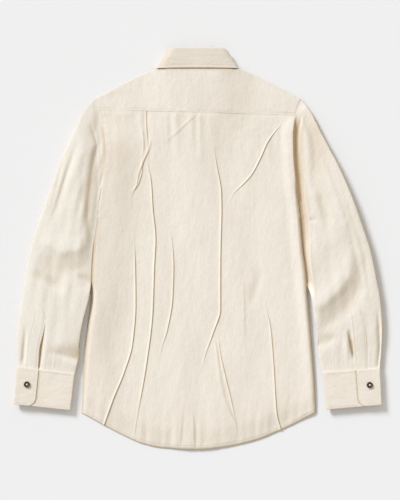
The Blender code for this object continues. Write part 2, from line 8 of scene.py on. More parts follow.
import bmesh
import bpy
import numpy as np
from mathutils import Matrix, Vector


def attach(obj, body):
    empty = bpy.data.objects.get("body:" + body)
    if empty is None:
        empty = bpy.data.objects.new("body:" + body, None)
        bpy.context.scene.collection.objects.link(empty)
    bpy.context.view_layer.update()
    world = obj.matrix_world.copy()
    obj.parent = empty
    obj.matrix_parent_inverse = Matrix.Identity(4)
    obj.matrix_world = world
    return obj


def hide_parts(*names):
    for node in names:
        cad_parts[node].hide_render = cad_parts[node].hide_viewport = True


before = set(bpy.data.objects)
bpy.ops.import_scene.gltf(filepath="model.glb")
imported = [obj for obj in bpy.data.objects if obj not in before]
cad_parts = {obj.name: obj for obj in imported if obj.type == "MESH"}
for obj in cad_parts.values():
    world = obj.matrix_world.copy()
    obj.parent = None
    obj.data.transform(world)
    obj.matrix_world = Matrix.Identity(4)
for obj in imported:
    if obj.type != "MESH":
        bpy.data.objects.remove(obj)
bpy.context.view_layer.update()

MM = 0.001

# Walls of the frame, gaps between its pieces, and the cloth as it is here
CLOTH = 1.2
COLLAR_CLOTH = 1.4
CUFF_CLOTH = 1.8
SEAM = 0.3
FLOOR_GAP = 0.05
THIN = 0.5
THIN_STRIP = 0.7
THIN_STAND = 0.9
THIN_BAND = 1.1
# Cloth that goes on under the next piece at a seam
TUCK = 1.3
TUCK_DROP = 0.75

# Heights of the middle of each wall of the frame over the floor
LOW = CLOTH / 2
RAISED = 3.2
UNDERLAP_HEIGHT = 4.7
BACK_HEIGHT = 5.4
CENTRE_RISE = 1.1
NECK_RISE = 5.8
SIDE_SEAM_HEIGHT = 1.5
# How much higher the body stands along its left side, and at its right edge beside the sleeve
LEFT_SIDE_RISE = 4.0
SIDE_RISE = 4.0

# Yoke, neck and front opening
YOKE_SEAM_LEFT = 278.5
YOKE_SEAM_RIGHT = 265.5
YOKE_FRONT_DEPTH = 28.0
SHOULDER_ROUND = 0.9
NECK_HALF_WIDTH = 77.0
NECK_FRONT = 283.0
NECK_FRONT_DROP = 47.0
PLACKET_HALF_WIDTH = 16.0
FRONT_HEM_RISE = 7.0
SHOULDER_TIP = 299.0
UNDERARM = 97.0

# How far each row of stitches lies from its edge or seam
HEM_STITCH = 6.0
YOKE_STITCH = 3.2
CUFF_STITCH = 4.0
COLLAR_STITCH = 5.0

# Buttons
BUTTON_RADIUS = 6.2
BUTTON_THICKNESS = 2.2
FRONT_BUTTONS = 7
FIRST_FRONT_BUTTON = 236.0
FRONT_BUTTON_SPACING = 84.0
COLLAR_BUTTON = 298.5

# Painted shade at the bottom of the cloth's deepest creases, as a share of its colour
CREASE_SHADE_COLOUR = (0.70, 0.57, 0.41)
# Slopes that face this side, away from the light, get some of that painted shade too, and so do the edges
# that lie away from the light
AWAY_FROM_LIGHT = np.array((0.68, -0.73, 0.0))
SLOPE_SHADE = 0.9
RIM_SHADE = 0.6


def table(columns, *rows):
    """Columns of numbers by name, in the order of the first one."""
    values = np.array(sorted(rows), float).T
    return dict(zip(columns.split(), values))


# Side edges of the body from the shoulder tips past the armholes to the hem's corners
SIDES = table(
    "y left right",
    (300, -204.5, 204.5),
    (280, -198.0, 196.5),
    (255, -191.5, 190.5),
    (225, -186.0, 188.0),
    (190, -184.0, 188.5),
    (150, -188.0, 191.5),
    (97, -196.5, 197.5),
    (50, -202.5, 203.0),
    (0, -208.8, 207.2),
    (-50, -212.0, 213.5),
    (-100, -213.0, 217.5),
    (-150, -219.5, 222.0),
    (-200, -225.0, 226.0),
    (-250, -228.2, 229.8),
    (-325, -231.5, 233.7),
)

# Curved shirt tail along the back panel's hem
HEM = table(
    "x y",
    (-231, -329),
    (-188, -352.5),
    (-144, -375.5),
    (-112, -389),
    (-72, -397.4),
    (0, -400.7),
    (54, -395.8),
    (108, -384.3),
    (165, -362.5),
    (234, -327.5),
)

# Top outline of the shoulders, which is a fold of the yoke
SHOULDERS = table(
    "x y",
    (-206, 299),
    (-145, 331),
    (-83, 357.6),
    (-77, 358.4),
    (77, 358.4),
    (83, 357.4),
    (143, 331),
    (206, 297.5),
)

# Pressed-in pleats of the back: the crest's path from the hem to the yoke, and its height
PLEATS = (
    table(
        "y x height",
        (-360, -191, 3.8),
        (-298, -169, 3.8),
        (-248, -148.5, 3.4),
        (-190, -131.5, 3.4),
        (-110, -125, 3.2),
        (-30, -126, 2.4),
        (12, -128, 0.3),
        (60, -132, 0),
        (100, -134, 0.3),
        (132, -118.5, 2.2),
        (158, -112, 1.8),
        (200, -111, 0),
        (280, -122, 0),
    ),
    table(
        "y x height",
        (-392, -131, 0),
        (-330, -121, 1.2),
        (-240, -105, 3.2),
        (-125, -91, 3.5),
        (-40, -88, 3.5),
        (20, -85.3, 3.5),
        (80, -90.7, 3.4),
        (132, -94, 2.5),
        (176, -101, 0.3),
        (205, -101, 0.8),
        (240, -103.3, 2.0),
        (280, -104.5, 1.8),
    ),
    table(
        "y x height",
        (-400, -76, 0),
        (-235, -80, 0),
        (-200, -73.5, 0.6),
        (-165, -62.5, 2.2),
        (-100, -51.5, 3.0),
        (-35, -49.3, 2.5),
        (8, -51.7, 1.2),
        (45, -57, 0),
        (280, -54.5, 0),
    ),
    table(
        "y x height",
        (-402, 3.5, 0),
        (-245, 8, 0),
        (-222, 11.5, 0.6),
        (-170, 29, 2.6),
        (-120, 44, 3.4),
        (-52, 44, 3.5),
        (20, 45, 3.5),
        (80, 46.5, 3.4),
        (115, 45.7, 3.1),
        (160, 38, 2.0),
        (196, 32, 0.4),
        (215, 30, 0),
        (280, 27.5, 0),
    ),
    table(
        "y x height",
        (-394, 80, 0),
        (-350, 75.3, 0.6),
        (-295, 64, 2.0),
        (-248, 52.5, 2.2),
        (-200, 42.5, 1.4),
        (-172, 40, 0.2),
        (-110, 56, 0),
        (0, 60, 0),
        (88, 63, 0),
        (108, 69.5, 0.6),
        (128, 88.5, 2.4),
        (148, 106.5, 2.9),
        (185, 126, 3.0),
        (212, 138, 3.0),
        (236, 155, 1.8),
        (247, 165, 0.3),
        (272, 171, 0),
    ),
    table(
        "y x height",
        (-366, 166.5, 3.4),
        (-328, 156.7, 3.2),
        (-226, 150, 2.4),
        (-157, 144, 2.0),
        (-118, 135.5, 0.5),
        (-90, 132, 0),
        (0, 132, 0),
        (107, 144, 0),
        (160, 159, 0),
        (200, 168, 0),
        (272, 181.5, 0),
    ),
)
# Profile of a pleat: how far it slopes up on the left, and its steep drop on the right
PLEAT_SHARE = 0.45
PLEAT_SLOPE = 4.8
PLEAT_DROP = 1.3
PLEAT_COLUMNS_LEFT = (1.0, 0.78, 0.58, 0.41, 0.27, 0.16, 0.08)
PLEAT_COLUMNS_DROP = (0.0, 0.4, 0.8, 1.3, 2.0)
PLEAT_COLUMNS_RIGHT = (0.62, 1.0)


def crease(left, right, *rows):
    """A crease with the given width on each side, and its path and height in rows of y, x and height."""
    return {**table("y x height", *rows), "left": left, "right": right}


# Fainter creases of the back, and a trough across it
CREASES = (
    crease(3, 1.2, (240, -112, 0), (232, -110.5, 0.9), (205, -109, 0.9), (188, -110, 0)),
    crease(5, 1.4, (112, -135, 0), (124, -124, 1.0), (150, -118, 1.2), (180, -107, 1.4), (200, -98, 1.2),
           (222, -93, 0)),
    crease(3.5, 1.6, (206, -76, 0), (234, -41, 1.1), (249, -25, 1.2), (271, 0, 0.5)),
    crease(4, 2, (-190, 92, 0), (-150, 91.5, 0.7), (-110, 91, 0.7), (-60, 90, 0)),
    crease(4, 2, (215, 74, 0), (230, 72.5, 0.6), (252, 70, 0.5), (262, 69, 0)),
    crease(7, 2.4, (-360, 77, 0), (-330, 66, 1.0), (-295, 52, 1.3), (-248, 43, 1.2), (-202, 37, 0.8),
           (-178, 33, 0)),
    crease(5, 3, (-385, -36, 0.5), (-350, -34, 0.7), (-310, -30, 0)),
    crease(6, 3, (-398, -8, 0.6), (-360, -9, 0.8), (-318, -12, 0)),
    crease(7, 5, (150, 8, 0), (210, 4, 0.35), (270, 2, 0.35)),
    crease(7, 5, (170, -66, 0), (215, -70, 0.3), (270, -74, 0.35)),
    crease(7, 5, (120, 98, 0), (200, 110, 0.35), (262, 118, 0.3)),
)
TROUGH = table("y x height", (-120, 108, 0), (-95, 112, -1.3), (-60, 122, -1.1), (-30, 124, 0))
TROUGH_WIDTH = 10.0

# Sleeves from the armhole to the cuff: both edges of the flat tube, and its height
SLEEVE_LEFT = table(
    "station outer_x outer_y inner_x inner_y height",
    (0.00, -204.8, 299.0, -197.0, 97.0, 5.8),
    (0.10, -226.0, 277.0, -199.0, 74.0, 8.5),
    (0.20, -245.0, 239.0, -202.0, 52.0, 11.0),
    (0.32, -270.0, 184.0, -206.0, 24.0, 10.8),
    (0.44, -294.5, 117.0, -210.0, -20.0, 9.6),
    (0.56, -315.0, 60.0, -213.5, -66.0, 9.0),
    (0.66, -333.5, -2.0, -217.5, -97.0, 8.8),
    (0.76, -344.5, -60.0, -229.0, -142.0, 8.5),
    (0.86, -354.0, -120.0, -236.0, -180.0, 8.0),
    (0.94, -360.0, -178.0, -239.0, -218.0, 7.0),
    (1.00, -360.8, -236.5, -246.0, -249.8, 5.8),
)
SLEEVE_RIGHT = table(
    "station outer_x outer_y inner_x inner_y height",
    (0.00, 204.8, 299.0, 198.0, 97.0, 5.8),
    (0.10, 225.5, 270.5, 201.0, 74.0, 8.0),
    (0.20, 245.5, 229.5, 204.0, 52.0, 10.0),
    (0.32, 276.5, 170.5, 207.0, 24.0, 11.5),
    (0.44, 307.0, 101.5, 211.5, -20.0, 12.0),
    (0.56, 327.5, 43.5, 216.5, -66.0, 11.0),
    (0.66, 343.0, -4.0, 226.0, -97.0, 10.0),
    (0.76, 355.0, -60.0, 233.0, -142.0, 9.0),
    (0.86, 363.5, -110.0, 239.0, -165.0, 8.0),
    (0.94, 367.0, -165.0, 239.5, -200.0, 7.0),
    (1.00, 362.6, -239.0, 248.5, -247.4, 5.8),
)


# Folds of the sleeves, each from its upper end, in rows of x, y, height over the cloth, and the fold's width
# on its right and on its left
FOLDS_LEFT = (
    ((-216, 250, 0, 3, 3), (-208, 228, -1.5, 3, 5), (-201, 206, -1.5, 4, 6), (-205, 186, -2.4, 6, 10),
     (-210, 158, -3.4, 7, 13), (-213, 128, -3.8, 7, 11), (-218, 92, -3.8, 7, 11),
     (-219, 62, -3.4, 8, 10), (-216, 36, -2.4, 7, 8), (-213, 8, 0, 6, 7)),
    ((-199, 246, 0, 2, 2), (-196.5, 216, -0.8, 2, 3), (-194, 188, -0.9, 2, 3), (-193, 156, 0, 2, 2)),
    ((-230, 222, 0, 12, 8), (-234, 190, 0.9, 15, 8), (-243.5, 140, 1.8, 18, 11),
     (-240, 108, 1.2, 18, 9), (-246.5, 80, 1.8, 20, 11), (-242, 35, 1.0, 16, 9), (-240, 5, 0, 12, 8)),
    ((-240.5, 213.5, 0, 4, 6), (-260.5, 153.5, -1.3, 4, 6), (-284.5, 77.5, -0.8, 4, 6),
     (-292, 50, 0, 4, 6)),
    ((-262, 205, 0, 4, 4), (-280, 130, -0.8, 4, 4), (-298, 55, 0, 4, 4)),
    ((-318, 14, 0, 8, 18), (-296.5, 8, 1.8, 8, 20), (-272.5, -5, 2.0, 10, 22),
     (-236.5, 1, 2.0, 10, 20), (-214, 12, 1.2, 10, 16)),
    ((-318, -14, 0, 16, 16), (-296, -28, -1.6, 20, 20), (-268, -42, -2.3, 20, 22),
     (-236.5, -38, -2.8, 15, 22), (-212, -24, -1.8, 10, 16)),
    ((-330, -48, 0, 9, 12), (-312, -56, -1.6, 9, 14), (-286.5, -72, -2.8, 9, 14),
     (-264, -86, 0, 8, 10)),
    ((-242, -52, 0, 5, 8), (-230, -58, -2.4, 6, 10), (-216, -63, -3.4, 7, 10)),
    ((-298, -204, 0, 4, 8), (-280, -209, -1.6, 6, 12), (-258, -214, -3.2, 7, 20),
     (-236, -220, -4.8, 8, 27)),
    ((-343, -150, 0, 4, 3), (-346, -190, -1.8, 4, 4), (-349, -222, -2.0, 4, 4), (-350, -234, 0, 4, 3)),
    ((-294, -160, 0, 7, 9), (-300, -190, 1.1, 8, 11), (-303, -225, 0.9, 8, 11), (-306, -240, 0, 7, 9)),
)
# Painted shade of the folds: where it lies beside them, towards the light, and the depth that has all of it
FOLD_SHADE_SHIFT = (3.5, -2.5)
FOLD_SHADE_DEPTH = 11
SLIT_SHADE_DEPTH = 4.2
# Slits beside the plackets
SLIT_LEFT = ((-304, -148, 0, 1.5, 1.5), (-306.5, -158, -1.6, 1.6, 2), (-310.5, -176, -3.4, 2.4, 3.8),
             (-313, -190, -4.4, 3.0, 4.6), (-315.5, -210, -4.4, 3.0, 4.6),
             (-318, -236, -3.4, 2.2, 3.4))
FOLDS_RIGHT = (
    ((205, 276, 0, 6, 12), (214, 258, -2.4, 6, 16), (230, 225, -4.2, 10, 26),
     (236, 190, -4.2, 12, 30), (234, 150, -2.6, 11, 28), (230, 110, 0, 9, 20)),
    ((242, 140, 0, 10, 14), (248, 98, -2.0, 13, 18), (252, 62, -1.8, 12, 17), (254, 20, 0, 10, 12)),
    ((243.5, 209.5, 0, 5, 7), (266, 144, -0.9, 5, 7), (299, 55, -0.7, 6, 8), (322, -50, -0.9, 5, 6),
     (334, -100, 0, 4, 5)),
    ((278, 160, 0, 4, 5), (301, 80, -0.7, 5, 6), (331, -15, -0.8, 5, 6), (345, -120, 0, 4, 4)),
    ((218, 58, 0, 4, 4), (226, 57, -1.6, 4, 4), (236, 55, 0, 4, 4)),
    ((222, -104, 2.0, 12, 20), (243, -112, 3.2, 13, 22), (271, -87, 4.0, 13, 24),
     (295, -56, 3.6, 13, 22), (303, -22, 1.6, 12, 18), (304, 8, 0, 10, 12)),
    ((246, -160, -0.8, 10, 14), (262, -146, -2.1, 15, 17), (294, -116, -2.4, 16, 19),
     (319, -80, -2.0, 14, 17), (325, -36, -0.8, 12, 14), (325, -10, 0, 10, 12)),
    ((234, -188, -3.6, 13, 24), (250, -185, -3.0, 12, 19), (264, -181, -1.8, 9, 12),
     (280, -176, 0, 6, 7)),
    ((357, -118, 0, 3, 3), (361, -160, -2.0, 4, 3), (362.5, -198, -2.2, 4, 3),
     (358, -234, -1.0, 3, 3)),
    ((294, -165, 0, 6, 4), (296, -195, 1.6, 6, 4), (299, -222, 0, 6, 4)),
)
SLIT_RIGHT = ((299, -160, 0, 2, 3), (300.5, -172, -3.0, 2, 4), (304, -190, -5.0, 2.4, 5),
              (308, -208, -4.2, 2.2, 4), (310.5, -222, 0, 2, 3))
# Where over y the left sleeve comes to lie against the body, how wide it leans on it, and the groove there
LEFT_JOIN = (-92.0, -62.0)
LEFT_JOIN_WIDTH = (34.0, 22.0)
LEFT_JOIN_GAP = 0.2
GROOVE_DEPTH = 1.5
GROOVE_WIDTH = 1.4
# Valley between the right sleeve and the body: its floor's height, its width below and above, its wall's
# width, the stretch of y where it widens, the wall's height, and the stretches of y where it ends
VALLEY_FLOOR = 2.0
VALLEY_NEAR = (7.5, 12.5)
VALLEY_WALL = 8.0
VALLEY_WIDENS = (-70.0, 150.0)
VALLEY_DEPTH = 17.0
VALLEY_TOP = (236.0, 272.0)
VALLEY_BOTTOM = (-98.0, -62.0)
# Width of the shade painted into the valley, below and above
VALLEY_SHADE_WIDTH = (4.0, 8.5)
# How much fuller the cloth is than the table's heights, past the armhole and at the cuff
SLEEVE_FULLNESS = 1.35
SLEEVE_FULLNESS_AT_CUFF = 1.92
CUFF_END_DROP = 1.3
SLEEVE_ROUNDING = 4.0
# Height of the sleeve's widest line as a share of its height, and the round of its underside by the edges
SLEEVE_EDGE = 0.8
UNDERSIDE = ((0.992, 0.84), (0.975, 0.62), (0.945, 0.36), (0.905, 0.14))
# Share of the sleeve over which the armhole's line fades, and its gaps beside the body and at the ends
ARMHOLE_FADE = 0.4
SIDE_BY_SIDE = 0.8
ARMHOLE_END_GAP = 0.9
ARMHOLE_END_GAP_LEFT = 0.18

# Cuffs: the corners of the flat band where it joins the sleeve and at its free edge
CUFF_LEFT = table(
    "station outer_x outer_y inner_x inner_y",
    (0, -361.2, -237.2, -246.2, -250.5),
    (1, -367.5, -309.7, -254.7, -321.7),
)
CUFF_RIGHT = table(
    "station outer_x outer_y inner_x inner_y",
    (0, 362.4, -239.7, 248.4, -248.1),
    (1, 366.0, -310.7, 255.7, -320.5),
)
CUFF_UNDERLAP_HEIGHT = 10.9
CUFF_OVERLAP_HEIGHT = 12.2
CUFF_UNDERLAP_START = 0.1
# Turn of the band at its edges, from its underside: how far in from the edge, and its height as a share
CUFF_TURN = ((16.0, 0.0), (11.0, 0.05), (7.0, 0.17), (4.0, 0.34), (1.8, 0.54), (0.6, 0.7), (0.1, 0.8),
             (0.0, 0.86), (0.25, 0.93), (1.0, 0.98), (2.2, 1.0))
CUFF_OVERLAP_END_LEFT = 0.37
CUFF_OVERLAP_END_RIGHT = 0.41
CUFF_CORNER = 17.0
# Points across each of the band's two ends
CUFF_CELLS = 32
# The band's upper edge over the sleeve's end, and the button's place, as shares of its height and width
CUFF_TOP = -0.022
CUFF_BUTTON_ACROSS = 0.2
CUFF_BUTTON_DOWN = 0.42

# Plackets over the sleeve slits, as places on the sleeve
PLACKET_LEFT = table(
    "station left right",
    (0.84, 0.215, 0.42),
    (0.873, 0.205, 0.42),
    (0.91, 0.185, 0.40),
    (0.96, 0.15, 0.36),
    (1.0, 0.135, 0.36),
)
PLACKET_RIGHT = table(
    "station left right",
    (0.85, 0.29, 0.49),
    (0.90, 0.265, 0.48),
    (0.975, 0.23, 0.45),
    (1.0, 0.21, 0.43),
)
# The point's length as a share of the sleeve, the strip's lift, and how far in its stitches are as a share
PLACKET_POINT = 0.027
PLACKET_LIFT = 0.35
PLACKET_STITCH = 0.14

# Half of the collar from the middle of the back to the front edge
COLLAR = table(
    "t seam_x seam_y seam_z fold_x fold_y fold_z edge_x edge_y edge_z turn",
    (0.00, 0, 358.9, 11.9, 0, 397.6, 14.2, 0, 361.1, 12.5, 90),
    (0.20, 38, 358.9, 11.9, 31, 397.4, 14.2, 42, 360.8, 12.4, 90),
    (0.36, 63, 358.9, 10.7, 48, 396.2, 13.4, 67, 360.2, 11.8, 87),
    (0.46, 73.0, 359.3, 8.3, 57, 391.5, 10.0, 78, 359.8, 9.6, 45),
    (0.50, 75.4, 358.2, 6.4, 61, 386.5, 7.4, 81.5, 359.2, 5.8, 0),
    (0.54, 75.5, 348.0, 4.6, 63, 379.0, 5.0, 82.5, 358.4, 2.2, -45),
    (0.58, 75.3, 332.0, 3.6, 63, 369.0, 3.7, 82, 352.0, 0.8, -75),
    (0.62, 74.5, 318.0, 3.2, 61, 357.0, 3.2, 80, 332.0, 0.75, -88),
    (0.70, 66, 304.0, 3.2, 54, 342.0, 3.2, 73, 307.0, 0.75, -90),
    (0.80, 48, 291.0, 3.2, 39, 325.0, 3.2, 64, 284.0, 0.75, -90),
    (0.90, 25, 285.0, 3.2, 20, 317.5, 3.2, 55, 264.0, 0.75, -90),
    (1.00, -10, 283.0, 3.2, -10, 314.5, 3.2, 46, 246.0, 0.75, -90),
)
# Where the leaf ends, the radius of its fold in front and at the back, and the rise of the overlap
COLLAR_LEAF_END = 0.95
COLLAR_FOLD_FRONT = 1.2
COLLAR_FOLD_BACK = 1.7
COLLAR_OVERLAP_RISE = 1.9
COLLAR_CELLS = 60
# How far the whole collar lies to the side
COLLAR_SHIFT = -1.7


def along(rows, column, at):
    """A table's column on a smooth curve through its rows, at values of the first column."""
    keys = next(iter(rows.values()))
    values = rows[column]
    steps = np.diff(values) / np.diff(keys)
    turns = steps[:-1] * steps[1:] <= 0
    inner = np.where(turns, 0, 2 * steps[:-1] * steps[1:] / np.where(turns, 1, steps[:-1] + steps[1:]))
    slopes = np.concatenate((steps[:1], inner, steps[-1:]))
    at = np.clip(np.asarray(at, float), keys[0], keys[-1])
    row = np.clip(np.searchsorted(keys, at), 1, len(keys) - 1)
    span = keys[row] - keys[row - 1]
    t = (at - keys[row - 1]) / span
    start = values[row - 1] * (2 * t**3 - 3 * t**2 + 1) + slopes[row - 1] * span * (t**3 - 2 * t**2 + t)
    end = values[row] * (3 * t**2 - 2 * t**3) + slopes[row] * span * (t**3 - t**2)
    return start + end


def ramp(value, low, high):
    """0 below low, 1 above high, and smooth between."""
    t = np.clip((np.asarray(value, float) - low) / (high - low), 0.0, 1.0)
    return t * t * (3 - 2 * t)


def bell(offset, width):
    """1 at no offset, and smoothly down to almost 0 at twice the width."""
    return np.exp(-((offset / width) ** 2))


def within(line, y):
    """A crease's height at y, and 0 past its ends."""
    inside = (y > line["y"][0]) & (y < line["y"][-1])
    return np.where(inside, along(line, "height", y), 0)


def mix(a, b, t):
    return a + (b - a) * t


def settle(across, line, y):
    """Where a column, whose x changes with y, meets a line given by its x."""
    for _ in range(5):
        y = line(across(y))
    return y


def shoulder_line(x):
    return along(SHOULDERS, "y", x)


def hem_line(x):
    return along(HEM, "y", x)


def yoke_seam(x):
    return mix(YOKE_SEAM_LEFT, YOKE_SEAM_RIGHT, ramp(x, -400, 400) * 0.5 + (x + 200) / 800)


def yoke_front_seam(x):
    return shoulder_line(x) - YOKE_FRONT_DEPTH


def neck_front(x):
    return NECK_FRONT + NECK_FRONT_DROP * np.minimum(np.abs(x) / NECK_HALF_WIDTH, 1.0) ** 3


def front_lift(x, y):
    """How far the fronts rise to pass over the collar's points and the front buttons."""
    over_collar = (1 - ramp(np.abs(x), 92, 125)) * ramp(y, 205, 236)
    over_buttons = 1 - ramp(np.abs(x), 18, 46)
    return (RAISED - LOW) * (1 - (1 - over_collar) * (1 - over_buttons))


def side_rise(y):
    """How much higher the body's right edge stands where it lies against the sleeve."""
    return SIDE_RISE * mix(0.4, 1.0, ramp(y, -280, -100)) * (1 - ramp(y, 235, 270))


def left_groove(beside, y):
    """Depth of the groove between the left sleeve and the body, by the distance from the body's edge."""
    return GROOVE_DEPTH * bell(beside, GROOVE_WIDTH) * (1 - ramp(y, -15, 35))


def back_height(x, y):
    """Height of the middle of the frame's upper layer, without its pleats."""
    height = BACK_HEIGHT + CENTRE_RISE * (1 - ramp(np.abs(x), 22, 75))
    height = height + NECK_RISE * (1 - ramp(np.abs(x), 48, 120)) * ramp(y, 150, 356)
    from_left = x - along(SIDES, "left", y)
    from_right = along(SIDES, "right", y) - x
    inside = np.minimum(from_left, from_right)
    height = height + side_rise(y) * ramp(-from_right, -26, -5)
    reach = mix(8.0, 2.5, ramp(x, -60, 60))
    joined = mix(ramp(y, *LEFT_JOIN), ramp(y, 92, 150), ramp(x, -60, 60))
    drop = (1 - ramp(inside, -3, reach)) * (1 - joined)
    above_hem = y - hem_line(x)
    over_placket = 1 - ramp(np.abs(x), 20, 50)
    height = height - (2.0 - 0.9 * over_placket) * (1 - ramp(above_hem, 4, 45))
    height = height - 1.5 * (1 - ramp(above_hem, 0, 6))
    along_side = ramp(y, -260, -80) * (1 - ramp(y, 200, 262))
    height = height + LEFT_SIDE_RISE * (1 - ramp(from_left, 12, 95)) * along_side
    return mix(height - left_groove(from_left, y), SIDE_SEAM_HEIGHT, drop)


def ridge(offset, height, left, right):
    """A crease that slopes up over the width left and falls off over the width right."""
    rise = np.clip(1 + offset / left, 0, 1) ** 1.6
    fall = 1 - ramp(offset, 0, right)
    return height * np.where(offset < 0, rise, fall)


def ripples(x, y):
    """Small uneven ripples under the yoke and over the hem, and a slow swell elsewhere."""
    near_yoke = ramp(y, 150, 262)
    near_hem = 1 - ramp(y, hem_line(x) + 12, hem_line(x) + 95)
    small = 0.5 * np.sin(x / 3.1 + 0.6 * np.sin(y / 37)) * np.sin(x / 19.0 + 1.3)
    small += 0.6 * np.sin(x / 4.7 + 1.1 + 0.5 * np.sin(y / 51 + 2)) * np.sin(x / 27.0 - 0.4)
    swell = 0.35 * np.sin(x / 23 + y / 140 + 0.7 * np.sin(y / 83))
    swell += 0.25 * np.sin(x / 13.5 - y / 210 + 1.9 + np.sin(y / 61 + x / 90))
    return 0.7 * small * np.maximum(near_yoke, near_hem) + 1.5 * swell


def back_surface(x, y):
    """Height of the back's outer side with its pleats and creases."""
    z = back_height(x, y) + CLOTH / 2
    for pleat in PLEATS:
        height = PLEAT_SHARE * np.maximum(along(pleat, "height", y), 0)
        z = z + ridge(x - along(pleat, "x", y), height, PLEAT_SLOPE, PLEAT_DROP)
    relief = ripples(x, y)
    for line in CREASES:
        offset = x - along(line, "x", y)
        height = within(line, y)
        relief = relief + ridge(offset, height, line["left"], line["right"])
    relief = relief + within(TROUGH, y) * bell(x - along(TROUGH, "x", y), TROUGH_WIDTH)
    side = np.minimum(x - along(SIDES, "left", y), along(SIDES, "right", y) - x)
    seam = np.minimum(ramp(yoke_seam(x) - y, 0, 9), ramp(y - hem_line(x), 3, 12)) * ramp(side, 1, 12)
    z = z + relief * mix(0.35, 1.0, seam) + armhole_puckers(side, y) * mix(1.0, 0.4, ramp(x, -60, 60))
    stitched = bell(y - hem_line(x) - HEM_STITCH, 1.1) + 0.5 * bell(yoke_seam(x) - y, 1.4)
    return z - 0.45 * stitched


def armhole_puckers(beside, y):
    """Short ripples across the armhole seam and a sewn line beside it, by the distance from the seam."""
    at_armhole = ramp(y, 105, 160)
    ripple = np.sin(y / 1.75 + 1.1 * np.sin(y / 7.3)) + 0.6 * np.sin(y / 3.1 + 2.0)
    near = bell(beside - 4.0, 3.5) * ramp(beside, 0, 2.5)
    line = bell(beside - 7.0, 1.1)
    return at_armhole * (0.3 * ripple * near - 0.4 * line)


def back_painted_shade(x, y):
    """Painted shade of the back: how deep a place lies in the crease beside a pleat or in a seam, with more
    shade painted at the armhole, along the left side, towards the hem and on the edges away from the light.
    """
    deep = np.zeros(np.shape(x))
    for pleat in PLEATS:
        height = np.maximum(along(pleat, "height", y), 0)
        at_foot = bell(x - along(pleat, "x", y) - 1.2, 1.3)
        deep = np.maximum(deep, 0.62 * np.minimum(height / 2.2, 1.1) * at_foot)
    for line in CREASES:
        at_foot = bell(x - along(line, "x", y) - 1.4, 1.8)
        deep = np.maximum(deep, 0.28 * np.minimum(within(line, y), 1.2) * at_foot)
    deep = deep + 0.25 * bell(yoke_seam(x) - y, 1.5)
    from_left = x - along(SIDES, "left", y)
    from_right = along(SIDES, "right", y) - x
    # Painted shade: darker along the body's left side, at the armhole and groove lines, by the shoulder,
    # towards the hem, and on the edges away from the light
    left = (1 - ramp(from_left, 14, 90)) * ramp(y, -350, -200) * (1 - ramp(y, 150, 250))
    armhole = (0.4 * bell(from_left - 1.0, 1.6) + 0.3 * bell(from_left - 8.0, 1.5)) * ramp(y, 125, 170)
    below = 0.4 * bell(from_left, 1.6) * (1 - ramp(y, -15, 35)) * ramp(y, *LEFT_JOIN)
    shoulder = 0.12 * bell(from_left - 24.0, 20.0) * ramp(y, 130, 200)
    above_hem = y - hem_line(x)
    sides = np.minimum(from_left, from_right) + 99 * ramp(y, 60, 97)
    rim = RIM_SHADE * (1 - ramp(np.minimum(above_hem, sides), 0, 1.8))
    return deep + 0.13 * left + armhole + below + shoulder + rim + 0.07 * (1 - ramp(above_hem, 0, 130))


def new_mesh(name, points, faces, material):
    """An object from points in millimetres."""
    body = bpy.data.meshes.new(name)
    body.from_pydata((np.asarray(points, float) * MM).tolist(), [], [list(map(int, f)) for f in faces])
    body.polygons.foreach_set("use_smooth", [True] * len(body.polygons))
    body.materials.append(material)
    body.update()
    piece = bpy.data.objects.new(name, body)
    bpy.context.scene.collection.objects.link(piece)
    return piece


def grid_faces(columns, rows, flip=False, keep=None, closed=False):
    """Corner numbers of a grid's cells, where point (column, row) has the number column * rows + row."""
    last = columns if closed else columns - 1
    column, row = np.meshgrid(np.arange(last), np.arange(rows - 1), indexing="ij")
    if keep is not None:
        column, row = column[keep], row[keep]
    column, row = column.ravel(), row.ravel()
    beyond = (column + 1) % columns
    near = column * rows + row
    far = beyond * rows + row
    faces = np.stack((near, far, far + 1, near + 1), 1)
    return faces[:, ::-1] if flip else faces


def used_only(points, faces):
    """Leaves out the points that no face uses."""
    used = np.unique(faces)
    number = np.zeros(len(points), int)
    number[used] = np.arange(len(used))
    return points[used], number[faces]


def shell(name, points, material, thickness, flip=False, keep=None, closed=False, lift=0.0, painted_shade=None):
    """A thin shell under a grid of points, of shape (columns, rows, 3), moved out by lift.

    The last argument gives the shade painted into the cloth's colour at each point, from 0 to 1, by how deep
    it lies in a crease.
    """
    columns, rows = points.shape[:2]
    faces = grid_faces(columns, rows, flip, keep, closed)
    flat = points.reshape(-1, 3)
    if painted_shade is not None:
        flat = np.concatenate((flat, np.broadcast_to(painted_shade, (columns, rows)).reshape(-1, 1)), 1)
    flat, faces = used_only(flat, faces)
    tone = flat[:, 3] if painted_shade is not None else np.zeros(len(flat))
    flat = flat[:, :3]
    normals = point_normals(flat, faces)
    # Painted shade: slopes that face away from the light get more of it
    tone = np.clip(tone + SLOPE_SHADE * np.clip(normals @ AWAY_FROM_LIGHT, 0, 0.5), 0, 1)
    flat = flat + lift * normals
    flat[:, 2] = np.maximum(flat[:, 2], FLOOR_GAP + thickness * np.clip(normals[:, 2], 0, 1))
    piece = new_mesh(name, flat, faces, material)
    piece.data.attributes.new("painted_shade", "FLOAT", "POINT").data.foreach_set("value", tone.astype(np.float32))
    wall = piece.modifiers.new("cloth", "SOLIDIFY")
    wall.thickness = thickness * MM
    wall.offset = -1.0
    return piece


def point_normals(points, faces):
    """Unit normals at the points of a mesh of quads."""
    a, b, c, d = (points[faces[:, k]] for k in range(4))
    normal = np.cross(c - a, d - b)
    total = np.zeros_like(points)
    for k in range(4):
        np.add.at(total, faces[:, k], normal)
    return total / np.maximum(np.linalg.norm(total, axis=1, keepdims=True), 1e-12)


